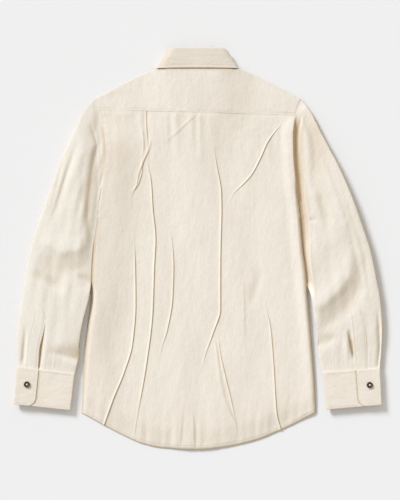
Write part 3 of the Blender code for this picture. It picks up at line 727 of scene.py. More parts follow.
def with_rims(places, inset):
    """Places along a shell with one more just inside each end, which keeps the round of its rim narrow."""
    places = np.asarray(places, float)
    near = inset * (places[-1] - places[0])
    return np.concatenate((places[:1], places[:1] + near, places[1:-1], places[-1:] - near, places[-1:]))


def stack(x, y, z):
    return np.stack(np.broadcast_arrays(x, y, z), -1).astype(float)


# Materials


def feed(tree, socket, value):
    """Sets a socket to a number or colour, or links another node's output to it."""
    if isinstance(value, bpy.types.NodeSocket):
        tree.links.new(value, socket)
    else:
        socket.default_value = value


def node(tree, kind, inputs=(), **settings):
    """A new node with values or links for its inputs, given by name or number."""
    made = tree.nodes.new(kind)
    for name, value in settings.items():
        setattr(made, name, value)
    for name, value in dict(inputs).items():
        feed(tree, made.inputs[name], value)
    return made


def new_material(name):
    """A material with its node tree and its shader."""
    material = bpy.data.materials.new(name)
    material.use_nodes = True
    return material, material.node_tree, material.node_tree.nodes["Principled BSDF"]


def streaks(tree, place, scale, detail, rough=0.5):
    """Noise drawn out along the axes where its scale is low."""
    drawn = node(tree, "ShaderNodeMapping", {"Vector": place, "Scale": scale}).outputs["Vector"]
    inputs = {"Vector": drawn, "Scale": 1.0, "Detail": detail, "Roughness": rough}
    return node(tree, "ShaderNodeTexNoise", inputs).outputs["Fac"]


def between(tree, factor, low, dark, high, light):
    """A colour from dark, where the factor is low, to light, where it is high."""
    made = node(tree, "ShaderNodeValToRGB", {"Fac": factor})
    for stop, position, colour in zip(made.color_ramp.elements, (low, high), (dark, light)):
        stop.position = position
        stop.color = (*colour, 1.0)
    return made.outputs["Color"]


def cotton(name, colour, grain=(1.0, 1.0, 1.0), turn=0.0):
    """Cream cotton in a plain weave with slubs along its grain, faint tone changes and fine creases, with
    painted shade from a point attribute of the mesh multiplied into its colour.
    """
    material, tree, shader = new_material(name)
    place = node(tree, "ShaderNodeTexCoord").outputs["Object"]
    turned = node(tree, "ShaderNodeMapping", {"Vector": place, "Rotation": (0, 0, turn)}).outputs["Vector"]

    def thread(direction):
        inputs = {"Vector": turned, "Scale": 560.0, "Distortion": 1.2, "Detail": 1.0, "Detail Scale": 0.4}
        return node(tree, "ShaderNodeTexWave", inputs, bands_direction=direction).outputs["Fac"]

    def maths(kind, a, b):
        return node(tree, "ShaderNodeMath", {0: a, 1: b}, operation=kind).outputs[0]

    def bump(height, strength, distance, under=None):
        inputs = {"Height": height, "Strength": strength, "Distance": distance}
        if under:
            inputs["Normal"] = under
        return node(tree, "ShaderNodeBump", inputs).outputs["Normal"]

    slubs = streaks(tree, turned, (620.0 * grain[0], 130.0 * grain[1], 60.0), 3.0, 0.6)
    tone = streaks(tree, turned, (26.0, 13.0, 20.0), 3.0, 0.55)
    creases = streaks(tree, turned, (66.0 * grain[0], 27.0 * grain[1], 30.0), 4.0, 0.62)
    weave = maths("MULTIPLY", thread("X"), thread("Y"))

    dark = [channel * factor for channel, factor in zip(colour, (0.935, 0.922, 0.90))]
    light = [min(channel * 1.045, 1.0) for channel in colour]
    spread = maths("ADD", maths("MULTIPLY", slubs, 0.62), maths("MULTIPLY", tone, 0.38))
    plain = between(tree, spread, 0.3, dark, 0.72, light)
    # Painted shade: the colour is multiplied towards the crease shade colour by the point attribute
    painted_shade = node(tree, "ShaderNodeAttribute", attribute_name="painted_shade").outputs["Fac"]
    shaded_colour = node(tree, "ShaderNodeMix", data_type="RGBA", blend_type="MULTIPLY")
    for socket, value in (("Factor", painted_shade), (6, plain), (7, (*CREASE_SHADE_COLOUR, 1.0))):
        feed(tree, shaded_colour.inputs[socket], value)

    fine = bump(maths("ADD", maths("MULTIPLY", weave, 0.6), maths("MULTIPLY", slubs, 0.5)), 0.35, 0.00016)
    uneven = node(tree, "ShaderNodeMapRange", {"Value": slubs, "To Min": 0.82, "To Max": 0.96})
    looks = {
        "Base Color": shaded_colour.outputs[2],
        "Normal": bump(creases, 0.85, 0.0016, fine),
        "Roughness": uneven.outputs["Result"],
        "Sheen Weight": 0.12,
        "Sheen Roughness": 0.5,
        "Sheen Tint": (1.0, 0.95, 0.88, 1.0),
        "Specular IOR Level": 0.25,
    }
    for socket, value in looks.items():
        feed(tree, shader.inputs[socket], value)
    return material


def horn(name):
    """Dark brown polished horn with darker streaks."""
    material, tree, shader = new_material(name)
    place = node(tree, "ShaderNodeTexCoord").outputs["Object"]
    streaked = streaks(tree, place, (260.0, 900.0, 300.0), 4.0)
    colour = between(tree, streaked, 0.36, (0.035, 0.016, 0.008), 0.68, (0.10, 0.050, 0.024))
    for socket, value in (("Base Color", colour), ("Roughness", 0.42), ("Specular IOR Level", 0.35)):
        feed(tree, shader.inputs[socket], value)
    return material


CREAM = (0.86, 0.797, 0.718)
BODY_COTTON = cotton("body_cotton", CREAM)
YOKE_COTTON = cotton("yoke_cotton", CREAM, grain=(1.0, 1.3, 1.0))
SLEEVE_LEFT_COTTON = cotton("sleeve_left_cotton", (0.858, 0.808, 0.732), turn=-0.28)
SLEEVE_RIGHT_COTTON = cotton("sleeve_right_cotton", (0.855, 0.8, 0.722), turn=0.28)
BAND_COTTON = cotton("band_cotton", (0.85, 0.782, 0.697), grain=(0.5, 2.4, 1.0))
THREAD = cotton("thread_cotton", (0.8, 0.72, 0.6))
BUTTON_THREAD = cotton("button_thread", (0.93, 0.91, 0.88))
HORN = horn("brown_horn")


# Body


def back_panel():
    fill = (14, 5, 18, 34, 10, 32, 20)

    def lines(y):
        """x of every column at y."""
        crests = [along(SIDES, "left", y)] + [along(p, "x", y) for p in PLEATS] + [along(SIDES, "right", y)]
        columns = []
        edge = crests[0]
        for number in range(1, len(crests) - 1):
            left = np.minimum(PLEAT_SLOPE + 1, 0.55 * (crests[number] - crests[number - 1]))
            right = np.minimum(5.0, 0.4 * (crests[number + 1] - crests[number]))
            start = crests[number] - left
            cells = fill[number - 1]
            columns += [mix(edge, start, step / cells) for step in range(cells)]
            columns += [crests[number] - left * share for share in PLEAT_COLUMNS_LEFT]
            columns += [crests[number] + drop for drop in PLEAT_COLUMNS_DROP]
            columns += [crests[number] + right * share for share in PLEAT_COLUMNS_RIGHT[:-1]]
            edge = crests[number] + right
        columns += [mix(edge, crests[-1], step / fill[-1]) for step in range(fill[-1] + 1)]
        return np.array(columns)

    count = len(lines(0.0))
    which = np.arange(count)

    def across(y):
        return lines(y)[which, which] if np.ndim(y) else lines(y)

    top = settle(across, yoke_seam, np.full(count, YOKE_SEAM_LEFT)) - SEAM
    bottom = settle(across, hem_line, np.full(count, -360.0))
    near_hem = np.array((0, 0.4, 1.2, 2.6, 4.4, 5.4, 6.2, 7.2, 8.8))
    rows = 205
    y = np.empty((count, len(near_hem) + rows))
    y[:, : len(near_hem)] = bottom[:, None] + near_hem
    y[:, len(near_hem):] = mix(bottom[:, None] + near_hem[-1], top[:, None], np.arange(1, rows + 1) / rows)
    x = np.empty_like(y)
    for row in range(y.shape[1]):
        x[:, row] = across(y[:, row])
    z = back_surface(x, y)
    z[:, 0] -= 0.45
    z[:, 1] -= 0.15
    x = np.concatenate((x[:1] - TUCK, x, x[-1:] + TUCK))
    y = np.concatenate((y[:1], y, y[-1:]))
    z = np.concatenate((z[:1] - TUCK_DROP, z, z[-1:] - TUCK_DROP))
    x = np.concatenate((x, x[:, -1:]), 1)
    y = np.concatenate((y, y[:, -1:] + 2.2), 1)
    z = np.concatenate((z, z[:, -1:] - 0.4 * TUCK_DROP), 1)
    piece = shell("back_panel_cloth", stack(x, y, z), BODY_COTTON, THIN, painted_shade=back_painted_shade(x, y))
    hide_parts("back_panel")
    return piece


def yoke():
    neck_columns = 60
    shoulder_columns = 46
    upper_rows = 40
    fold_rows = 10
    lower_rows = 10
    columns = neck_columns + 2 * shoulder_columns
    column = np.arange(columns + 1)

    def across(y):
        left = mix(along(SIDES, "left", y), -NECK_HALF_WIDTH, column / shoulder_columns)
        step = (column - shoulder_columns - neck_columns) / shoulder_columns
        right = mix(NECK_HALF_WIDTH, along(SIDES, "right", y), step)
        middle = mix(-NECK_HALF_WIDTH, NECK_HALF_WIDTH, (column - shoulder_columns) / neck_columns)
        return np.where(column < shoulder_columns, left, np.where(step > 0, right, middle))

    outline = settle(across, shoulder_line, np.full(columns + 1, SHOULDER_TIP)) - 0.2
    start = settle(across, yoke_seam, np.full(columns + 1, YOKE_SEAM_LEFT)) + SEAM
    end = settle(across, yoke_front_seam, outline) + SEAM
    x_top = across(outline)
    high = back_height(x_top, outline)
    at_neck = (column > shoulder_columns) & (column < shoulder_columns + neck_columns)
    fold = np.where(at_neck, 0, SHOULDER_ROUND)
    points = []
    for share in (0.0, *np.linspace(0.004, 1, upper_rows)):
        y = mix(start, outline - fold, share)
        x = across(y)
        swell = 0.3 * np.sin(x / 21 + 1.2 * np.sin(y / 45)) + 0.22 * np.sin(x / 9.5 + y / 33)
        swell = swell * ramp(y - start, 0, 8) * ramp(outline - fold - y, 2, 16)
        seam = bell(y - start - YOKE_STITCH, 1.1)
        points.append(stack(x, y, back_height(x, y) + swell - 0.25 * seam))
    for row in range(1, fold_rows + 1):
        angle = math.pi / 2 * row / fold_rows
        inset = fold * (1 - math.sin(angle))
        points.append(stack(x_top, outline - inset, high - fold + fold * math.cos(angle)))
    for row in range(1, lower_rows + 1):
        y = mix(outline, end, row / lower_rows)
        x = across(y)
        rise = (1 - row / lower_rows) ** 2.2
        points.append(stack(x, y, mix(LOW + front_lift(x, y), high - fold, rise)))
    points = np.array(points).transpose(1, 0, 2)
    tucked = (points[:1] + (-TUCK, 0, -TUCK_DROP), points, points[-1:] + (TUCK, 0, -TUCK_DROP))
    points = np.concatenate(tucked)
    keep = np.ones((columns + 2, len(points[0]) - 1), bool)
    keep[shoulder_columns + 1: shoulder_columns + neck_columns + 1, upper_rows:] = False
    # Painted shadow under the collar's leaf, and painted shade over the shoulder fold
    under_collar = bell(points[:, :, 1] - 357.6, 2.0) * (1 - ramp(np.abs(points[:, :, 0]), 76, 86))
    over_fold = ramp(np.arange(points.shape[1]), upper_rows - 1, upper_rows + 3)
    tone = np.maximum(0.6 * under_collar, 0.28 * over_fold)
    piece = shell("yoke_cloth", points, YOKE_COTTON, THIN, keep=keep, lift=CLOTH / 2 - 0.05, painted_shade=tone)
    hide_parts("yoke")
    return piece


def front_top(x):
    return np.where(np.abs(x) < NECK_HALF_WIDTH - 1, neck_front(x), yoke_front_seam(x)) - SEAM


def front_hem(x):
    return hem_line(x) + FRONT_HEM_RISE


def front_grid(across, columns, height):
    """A front's points from the hem to its top, with the given height over the floor."""
    rows = 110
    top = settle(across, front_top, np.full(columns, YOKE_SEAM_RIGHT))
    bottom = settle(across, front_hem, np.full(columns, -360.0))
    y = mix(bottom[:, None], top[:, None], np.linspace(0, 1, rows + 1))
    x = np.stack([across(y[:, row]) for row in range(rows + 1)], 1)
    return stack(x, y, height(x, y))


def fronts():
    made = []
    for name, side, inner in (("front_left", -1, -16.3), ("front_right", 1, -10.0)):
        near = np.linspace(inner, 75.0 * side, 26)
        share = np.linspace(0, 1, 26)[1:]
        edge = "left" if side < 0 else "right"

        def across(y, near=near, share=share, edge=edge):
            sides = along(SIDES, edge, y)
            far = mix(near[-1], sides[-25:] if np.ndim(sides) else sides, share)
            return np.concatenate((near, far))

        def height(x, y, side=side):
            z = LOW + front_lift(x, y)
            if side > 0:
                z = mix(z, UNDERLAP_HEIGHT, 1 - ramp(x, 18, 34))
            return z - CLOTH / 2 + 0.02

        points = front_grid(across, 51, height)
        piece = shell(name + "_cloth", points, BODY_COTTON, THIN, flip=side > 0)
        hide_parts(name)
        made.append(piece)
    columns = np.linspace(-PLACKET_HALF_WIDTH, PLACKET_HALF_WIDTH, 13)

    def placket_height(x, _):
        stitched = bell(np.abs(x) - PLACKET_HALF_WIDTH + 4, 0.8)
        return RAISED - CLOTH / 2 + 0.2 * stitched

    points = front_grid(lambda y: columns, 13, placket_height)
    piece = shell("front_placket_cloth", points, BAND_COTTON, THIN_BAND, flip=True)
    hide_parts("front_placket")
    made.append(piece)
    return made


# Sleeves


def sleeve_folds(side):
    """The folds of a sleeve with the slit beside its placket as the last one."""
    return (*FOLDS_LEFT, SLIT_LEFT) if side < 0 else (*FOLDS_RIGHT, SLIT_RIGHT)


def sleeve_point(sleeve, side, across, station, slit=True):
    """Points of the sleeve's upper layer: across from its outer to its inner edge, along to the cuff.

    The placket spans the slit beside it, so it leaves that out.
    """
    edge = "left" if side < 0 else "right"
    outer_x = along(sleeve, "outer_x", station)
    outer_y = along(sleeve, "outer_y", station)
    inner_x = along(sleeve, "inner_x", station)
    inner_y = along(sleeve, "inner_y", station)
    apart = SIDE_BY_SIDE
    if side < 0:
        apart = mix(SIDE_BY_SIDE, LEFT_JOIN_GAP, ramp(inner_y, *LEFT_JOIN))
    beside = along(SIDES, edge, inner_y) + side * apart
    inner_x = np.maximum(inner_x, beside) if side > 0 else np.minimum(inner_x, beside)
    x = mix(outer_x, inner_x, across)
    y = mix(outer_y, inner_y, across)
    seam_y = mix(SHOULDER_TIP, UNDERARM, across)
    at_ends = 1 - ramp(across, 0, 0.15) + ramp(across, 0.8, 1)
    end_gap = ARMHOLE_END_GAP if side > 0 else ARMHOLE_END_GAP_LEFT
    seam_x = along(SIDES, edge, seam_y) + side * (SEAM + end_gap * at_ends)
    straight_x = mix(sleeve["outer_x"][0], sleeve["inner_x"][0], across)
    x = x + (seam_x - straight_x) * (1 - ramp(station, 0, ARMHOLE_FADE))
    x = np.where(station == 0, seam_x, x)
    y = np.where(station == 0, seam_y, y)
    rounding = (1 - np.abs(2 * across - 1) ** SLEEVE_ROUNDING) ** (1 / SLEEVE_ROUNDING)
    rounding = mix(SLEEVE_EDGE, 1.0, rounding)
    full = mix(SLEEVE_FULLNESS_AT_CUFF, SLEEVE_FULLNESS, (1 - station) ** 0.35)
    full = mix(1.0, full, ramp(station, 0.0, 0.25))
    z = LOW + along(sleeve, "height", station) * full * rounding
    z = z - CUFF_END_DROP * ramp(station, 0.93, 1.0) * rounding
    for rows in sleeve_folds(side)[: None if slit else -1]:
        z = z + fold_relief(rows, x, y) * ramp(rounding, SLEEVE_EDGE, mix(SLEEVE_EDGE, 1.0, 0.4))
    body = back_height(seam_x - side * 6, seam_y) - 0.1
    z = mix(body, z, ramp(station, 0.0, 0.05 + 0.05 * ramp(across, 0.0, 0.3)))
    if side < 0:
        beside = along(SIDES, edge, y) - x
        width = mix(*LEFT_JOIN_WIDTH, ramp(y, -20, 50))
        join = (1 - ramp(beside / width, 0, 1)) * ramp(y, *LEFT_JOIN)
        body = back_height(x + beside + 6, y) - 0.1
        z = mix(z, body, join * ramp(station, 0.02, 0.1)) - join * left_groove(beside, y)
    else:
        beside = x - along(SIDES, edge, y)
        near = mix(*VALLEY_NEAR, ramp(y, *VALLEY_WIDENS)) + 1.6 * np.sin(y / 19.0)
        allowed = VALLEY_FLOOR + VALLEY_DEPTH * ramp((beside - near) / VALLEY_WALL, 0, 1)
        at_seam = (1 - ramp(beside, 0.5, 5)) * ramp(y, 85, 110)
        allowed = allowed + (BACK_HEIGHT - VALLEY_FLOOR + side_rise(y)) * at_seam
        z = mix(z, np.minimum(z, allowed), valley_strength(y))
    return x, y, np.maximum(z, LOW + 0.7)


def valley_strength(y):
    return ramp(y, *VALLEY_BOTTOM) * (1 - ramp(y, *VALLEY_TOP))


def fold_relief(rows, x, y):
    """Height of a fold at the given places, from the nearest point of its path."""
    rows = np.array(rows, float)
    nearest = np.full(np.shape(x), np.inf)
    height = np.zeros(np.shape(x))
    for start, end in zip(rows, rows[1:]):
        run_x, run_y = end[0] - start[0], end[1] - start[1]
        share = ((x - start[0]) * run_x + (y - start[1]) * run_y) / (run_x**2 + run_y**2)
        share = np.clip(share, 0, 1)
        off_x = x - start[0] - share * run_x
        off_y = y - start[1] - share * run_y
        away = np.hypot(off_x, off_y)
        on_right = run_x * off_y - run_y * off_x < 0
        width = np.where(on_right, mix(start[3], end[3], share), mix(start[4], end[4], share))
        here = mix(start[2], end[2], share) * bell(away, width)
        height = np.where(away < nearest, here, height)
        nearest = np.minimum(nearest, away)
    return height


def sleeve_swell(across, station, side):
    """Small uneven ripples along and round the sleeve."""
    a = 0.35 * np.sin(across * 21 + 3 * station + side) * np.sin(station * 17 + 4 * across)
    b = 0.3 * np.sin(across * 33 - 9 * station + 2) * np.sin(station * 9 + 1.7 * side)
    inside = np.sin(math.pi * np.clip(across, 0, 1)) ** 0.5
    fade = ramp(station, 0, 0.06) * ramp(1 - station, 0, 0.05)
    gathers = np.sin(across * 83 + 2 * side + 9 * station) * (0.5 + 0.5 * np.sin(across * 13))
    gathers = gathers + 0.7 * np.sin(across * 127 + side)
    gathers = 0.13 * gathers * ramp(station, 0.93, 0.985) * (1 - 0.8 * ramp(station, 0.985, 1.0))
    return ((a + b) * fade + gathers) * inside


def sleeve(name, rows, side, material):
    upper = 90
    stations = with_rims(np.linspace(0, 1, 209), 0.0007)
    angles = np.linspace(0, math.pi, upper + 1)
    round_inner = [place for place, _ in UNDERSIDE]
    round_outer = [1 - place for place in round_inner[::-1]]
    below = np.linspace(0.84, 0.16, 8)
    across = np.concatenate((0.5 - 0.5 * np.cos(angles), round_inner, below, round_outer))
    a, s = np.meshgrid(across, stations, indexing="ij")
    x, y, z = sleeve_point(rows, side, a, s)
    z[: upper + 1] += sleeve_swell(a, s, side)[: upper + 1]
    z[upper + 1:] = LOW
    for number, (_, share) in enumerate(UNDERSIDE):
        z[upper + 1 + number] = mix(LOW, z[upper], share)
        z[-1 - number] = mix(LOW, z[0], share)
    points = stack(x, y, z)
    deep = sleeve_painted_shade(side, x, y, a, upper)
    out = CLOTH / 2 - 0.05
    piece = shell(name + "_cloth", points, material, THIN, flip=side < 0, closed=True, lift=out, painted_shade=deep)
    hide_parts(name)
    return piece


def sleeve_painted_shade(side, x, y, across, upper):
    """Painted shade of a sleeve: how deep its places lie in its folds, its slit and the valley beside the
    body, with shade painted along its edges and underside.
    """
    *soft, slit = sleeve_folds(side)
    shift_x, shift_y = FOLD_SHADE_SHIFT
    deep = sum(np.maximum(-fold_relief(path, x + shift_x, y + shift_y), 0) for path in soft)
    deep = np.maximum(deep / FOLD_SHADE_DEPTH, -fold_relief(slit, x, y) / SLIT_SHADE_DEPTH)
    if side > 0:
        beside = x - along(SIDES, "right", y)
        wide = mix(*VALLEY_SHADE_WIDTH, ramp(y, *VALLEY_WIDENS))
        wall = beside - mix(*VALLEY_NEAR, ramp(y, *VALLEY_WIDENS)) - 6
        valley = (bell(beside - 0.7 * wide, wide) + 0.25 * bell(wall, 5)) * valley_strength(y)
        deep = np.maximum(deep, valley) + RIM_SHADE * (1 - ramp(across, 0, 0.012))
    else:
        beside = along(SIDES, "left", y) - x
        deep = deep + 0.6 * bell(beside - 2.0, 5.0) * ramp(y, 120, 180) * (1 - ramp(y, 225, 262))
        deep = deep + 0.6 * bell(beside, 1.6) * (1 - ramp(y, -15, 35))
        deep = deep + RIM_SHADE * (1 - ramp(1 - across, 0, 0.012)) + 0.3 * (1 - ramp(across, 0, 0.015))
    deep[upper + 1:] = 0.5
    return deep


def sleeve_placket(name, rows, side, placket, material):
    first = placket["station"][0]
    last = placket["station"][-1]
    share = with_rims(np.linspace(0, 1, 27), 0.012)[:, None]
    down = with_rims(np.linspace(0, 1, 41), 0.004)[None, :]
    middle = 1 - np.abs(2 * share - 1)
    station = mix(first - PLACKET_POINT * middle, last, down)
    across = mix(along(placket, "left", station), along(placket, "right", station), share)
    x, y, z = sleeve_point(rows, side, across, station, slit=False)
    z = z + CLOTH / 2 + PLACKET_LIFT
    edge = np.minimum(share, 1 - share)
    z = z - 0.3 * bell(edge - PLACKET_STITCH, 0.05) - 0.35 * (1 - ramp(edge, 0, 0.1))
    z = z - 0.3 * (1 - ramp(np.minimum(share, 3 * down), 0, 0.1))
    box = (station - first - 0.022) * 480
    z = z - 0.25 * bell(box, 1.3)
    # Painted shade along the placket's point and edge and in its stitch line
    outline = 0.4 * (1 - ramp(np.minimum(share, 3 * down), 0.0, 0.05))
    outline = outline + 0.2 * bell(edge - PLACKET_STITCH, 0.05)
    piece = shell(name + "_cloth", stack(x, y, z), material, THIN_STRIP, flip=side < 0, painted_shade=outline)
    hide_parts(name)
    return piece


def cuff_path(width, overlap_end):
    """The band's section from the end that lies under, round both edges, to the end on top."""
    low = CUFF_CLOTH / 2
    flat_from = CUFF_TURN[0][0] / width
    cells = CUFF_CELLS - 1
    places = with_rims(np.linspace(CUFF_UNDERLAP_START, 1 - CUFF_TURN[-1][0] / width, cells), 0.004)[:-2]
    path = [(s, CUFF_UNDERLAP_HEIGHT) for s in (*places, 1 - CUFF_TURN[-1][0] / width)]
    for inward, share in CUFF_TURN[-2:0:-1]:
        path.append((1 - inward / width, mix(low, CUFF_UNDERLAP_HEIGHT, share)))
    path += [(s, low) for s in np.linspace(1 - flat_from, flat_from, 17)]
    for inward, share in CUFF_TURN[1:-1]:
        path.append((inward / width, mix(low, CUFF_OVERLAP_HEIGHT, share)))
    places = with_rims(np.linspace(CUFF_TURN[-1][0] / width, overlap_end, cells), 0.007)
    path += [(s, CUFF_OVERLAP_HEIGHT) for s in (places[0], *places[2:])]
    return np.array(path)


def cuff_place(cuff, across, down):
    """A place on a cuff, across from its outer edge and down from the sleeve."""
    ends = {column: mix(*cuff[column], down) for column in ("outer_x", "outer_y", "inner_x", "inner_y")}
    return mix(ends["outer_x"], ends["inner_x"], across), mix(ends["outer_y"], ends["inner_y"], across)


def cuff_size(cuff):
    outer = np.array(cuff_place(cuff, 0.0, 0.0))
    inner = np.array(cuff_place(cuff, 1.0, 0.0))
    free = np.array(cuff_place(cuff, 0.0, 1.0))
    return np.linalg.norm(inner - outer), np.linalg.norm(free - outer)


def cuff_pinch(from_top, on_top):
    """How far the band is pulled down by the seam with the sleeve."""
    return mix(0.15, 1.0, on_top) * (1 - ramp(from_top, 0, 6))


def cuff(name, rows, overlap_end, side, material):
    width, height = cuff_size(rows)
    path = cuff_path(width, overlap_end)
    upper = (CUFF_TOP, 0.0, 0.02, 0.045, 0.08)
    lower = (0.91, 0.94, 0.965, 0.99, 1.0)
    down = with_rims((*upper, *np.linspace(0.11, 0.88, 24), *lower), 0.004)
    a, d = np.meshgrid(path[:, 0], down, indexing="ij")
    z = np.repeat(path[:, 1][:, None], len(down), 1)
    number = np.arange(len(path))[:, None]
    on_top = number >= len(path) - CUFF_CELLS
    from_end = (overlap_end - a) * width
    corner = on_top & (from_end < CUFF_CORNER)
    reach = np.clip(CUFF_CORNER - from_end, 0, CUFF_CORNER)
    d = np.where(corner, d * (1 - (CUFF_CORNER - np.sqrt(CUFF_CORNER**2 - reach**2)) / height), d)
    x, y = cuff_place(rows, a, d)
    edge = np.minimum(d - CUFF_TOP, 1 - d) * height
    over = np.where(on_top, from_end, 99.0)
    near = np.minimum(edge, over)
    z = z - 0.3 * bell(near - CUFF_STITCH, 0.9)
    z = z - cuff_pinch((d - CUFF_TOP) * height, on_top) * (z > CUFF_UNDERLAP_HEIGHT - 1)
    round_off = np.clip(CUFF_CORNER - (1 - d) * height, 0, CUFF_CORNER)
    overlap = overlap_end * width - CUFF_CORNER + np.sqrt(CUFF_CORNER**2 - round_off**2)
    # Painted shadow on the underlap beside the overlap's end, and painted shade on the edges away from the
    # light
    deep = np.where(number < CUFF_CELLS, bell(a * width - overlap - 0.8, 2.3), 0)
    right = a * width if side > 0 else (1 - a) * width
    rim = RIM_SHADE * (1 - ramp(np.minimum(right, (1 - d) * height), 0, 1.5))
    deep = np.maximum(0.95 * deep, rim)
    points = stack(x, y, z)
    out = CUFF_CLOTH / 2 - 0.05
    piece = shell(name + "_cloth", points, material, THIN_BAND, flip=side > 0, lift=out, painted_shade=deep)
    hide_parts(name)
    return piece


# Collar


def collar_lines(t):
    """Points of the collar's neck seam, fold and edge at t, which runs from -1 round the back to 1."""
    row = abs(t)
    side = 1 if t >= 0 else -1
    lines = []
    for line in ("seam", "fold", "edge"):
        x, y, z = (float(along(COLLAR, f"{line}_{axis}", row)) for axis in "xyz")
        if line == "seam":
            y = max(y, float(neck_front(x)) + 3 * SEAM)
        lines.append(np.array((side * x + COLLAR_SHIFT * (1 - float(ramp(row, 0.5, 0.7))), y, z)))
    return lines


def collar_directions(t):
    """Unit vectors at the fold: on past the stand's edge, and out from the neck."""
    seam, fold, _ = collar_lines(t)
    run = collar_lines(t + 0.01)[1] - collar_lines(t - 0.01)[1]
    run /= np.linalg.norm(run)
    up = fold - seam
    up -= up.dot(run) * run
    up /= np.linalg.norm(up)
    out = np.cross(run, up)
    turn = math.radians(float(along(COLLAR, "turn", abs(t))))
    facing = np.array((math.copysign(math.cos(turn), t), 0, math.sin(turn)))
    return up, out * math.copysign(1, out.dot(facing))


def collar_steps():
    """Places round the leaf, closer together where it turns over at the sides."""
    share = np.arange(1, COLLAR_CELLS + 1) / COLLAR_CELLS
    steps = COLLAR_LEAF_END * (share + 0.08 * np.sin(2 * math.pi * (share - 0.03))) + 0.014
    return [*(-steps[::-1]), 0.0, *steps]


def collar(material):
    steps = [-1.0] + collar_steps() + [1.0]
    rows = 12
    stand = []
    for t in steps:
        seam, fold, _ = collar_lines(t)
        rise = np.array((0, 0, COLLAR_OVERLAP_RISE * float(ramp(t, 0.72, 0.88))))
        stand.append([mix(seam, fold, row / rows) + rise for row in range(rows + 1)])
    # Painted shadow on the stand by the neck seam, under the leaf
    deep = 0.8 * (1 - ramp(np.arange(rows + 1), 1, 6))
    stand = np.array(stand)
    stand = shell("collar_stand_cloth", stand, material, THIN_STAND, lift=THIN_STAND / 2, painted_shade=deep)
    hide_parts("collar_stand")
    fold_cells = 10
    fall_cells = 26
    root_lift = COLLAR_CLOTH / 2 + SEAM + 0.5
    leaf = []
    for t in collar_steps():
        up, out = collar_directions(t)
        _, fold, edge = collar_lines(t)
        root = fold + up * root_lift
        at_back = ramp(along(COLLAR, "turn", abs(t)), -85, 0)
        radius = float(mix(COLLAR_FOLD_FRONT, COLLAR_FOLD_BACK, at_back))
        line = []
        for row in range(fold_cells + 1):
            angle = math.pi * row / fold_cells
            line.append(root + up * radius * math.sin(angle) + out * radius * (1 - math.cos(angle)))
        start = root + out * 2 * radius
        length = np.linalg.norm(edge - start)
        falls = np.append(np.arange(1, fall_cells) / fall_cells, (1 - 0.9 / length, 1 - 0.4 / length, 1.0))
        for share in falls:
            from_edge = (1 - share) * length
            dip = 0.3 * bell(from_edge - COLLAR_STITCH, 0.9) - 0.5 * bell(from_edge - 1.6, 1.1)
            line.append(mix(start, edge, share) - out * dip)
        leaf.append(line)
    # Painted shade where the leaf turns at the sides and on its fold
    turned = 0.1 * ramp(np.abs(collar_steps()), 0.39, 0.47)[:, None]
    upper = 0.1 * (1 - ramp(np.arange(len(leaf[0])), fold_cells / 2, fold_cells))
    deep = np.maximum(turned, upper)
    leaf = shell("collar_leaf_cloth", np.array(leaf), material, THIN_BAND, lift=0.5, painted_shade=deep)
    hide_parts("collar_leaf")
    return stand, leaf


# Buttons and stitches


def button(name, node_name, x, y, underside):
    """A turned four-hole button, sewn on with light thread."""
    radius, thickness = BUTTON_RADIUS, BUTTON_THICKNESS
    profile = (
        (0.62, 0.0), (0.85, 0.0), (0.97, 0.2), (1.0, 0.45), (0.985, 0.72), (0.93, 0.93),
        (0.85, 1.0), (0.77, 0.95), (0.7, 0.8), (0.62, 0.68), (0.5, 0.62), (0.36, 0.62),
    )
    steps = 40
    mesh = bmesh.new()
    rings = []
    for across, up in profile:
        ring = []
        for step in range(steps):
            angle = 2 * math.pi * step / steps
            around = Vector((math.cos(angle), math.sin(angle), 0)) * radius * across
            ring.append(mesh.verts.new((around + Vector((0, 0, thickness * up))) * MM))
        rings.append(ring)
    for inner, outer in zip(rings, rings[1:]):
        for step in range(steps):
            beyond = (step + 1) % steps
            mesh.faces.new((inner[step], inner[beyond], outer[beyond], outer[step]))
    mesh.faces.new(rings[0][::-1])
    mesh.faces.new(rings[-1])
    for face in mesh.faces:
        face.smooth = True
    body = bpy.data.meshes.new(name)
    mesh.to_mesh(body)
    mesh.free()
    body.materials.append(HORN)
    made = bpy.data.objects.new(name, body)
    bpy.context.scene.collection.objects.link(made)
    made.location = (x * MM, y * MM, underside * MM)
    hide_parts(node_name)
    hole = 1.25
    corners = ((-hole, -hole), (hole, hole), (-hole, hole), (hole, -hole))
    threads = []
    for start, end in ((0, 1), (2, 3)):
        for shift in (-0.45, 0.0, 0.45):
            a, b = np.array(corners[start]), np.array(corners[end])
            along_it = (b - a) / np.linalg.norm(b - a)
            aside = np.array((-along_it[1], along_it[0])) * shift
            points = []
            for share in np.linspace(0, 1, 7):
                spot = mix(a, b, share) + aside
                over = thickness * 0.65 + 0.6 * math.sin(math.pi * share)
                points.append((x + spot[0], y + spot[1], underside + over))
            threads.append(points)
    sewn = tubes(name + "_thread", threads, 0.42, BUTTON_THREAD)
    return made, sewn


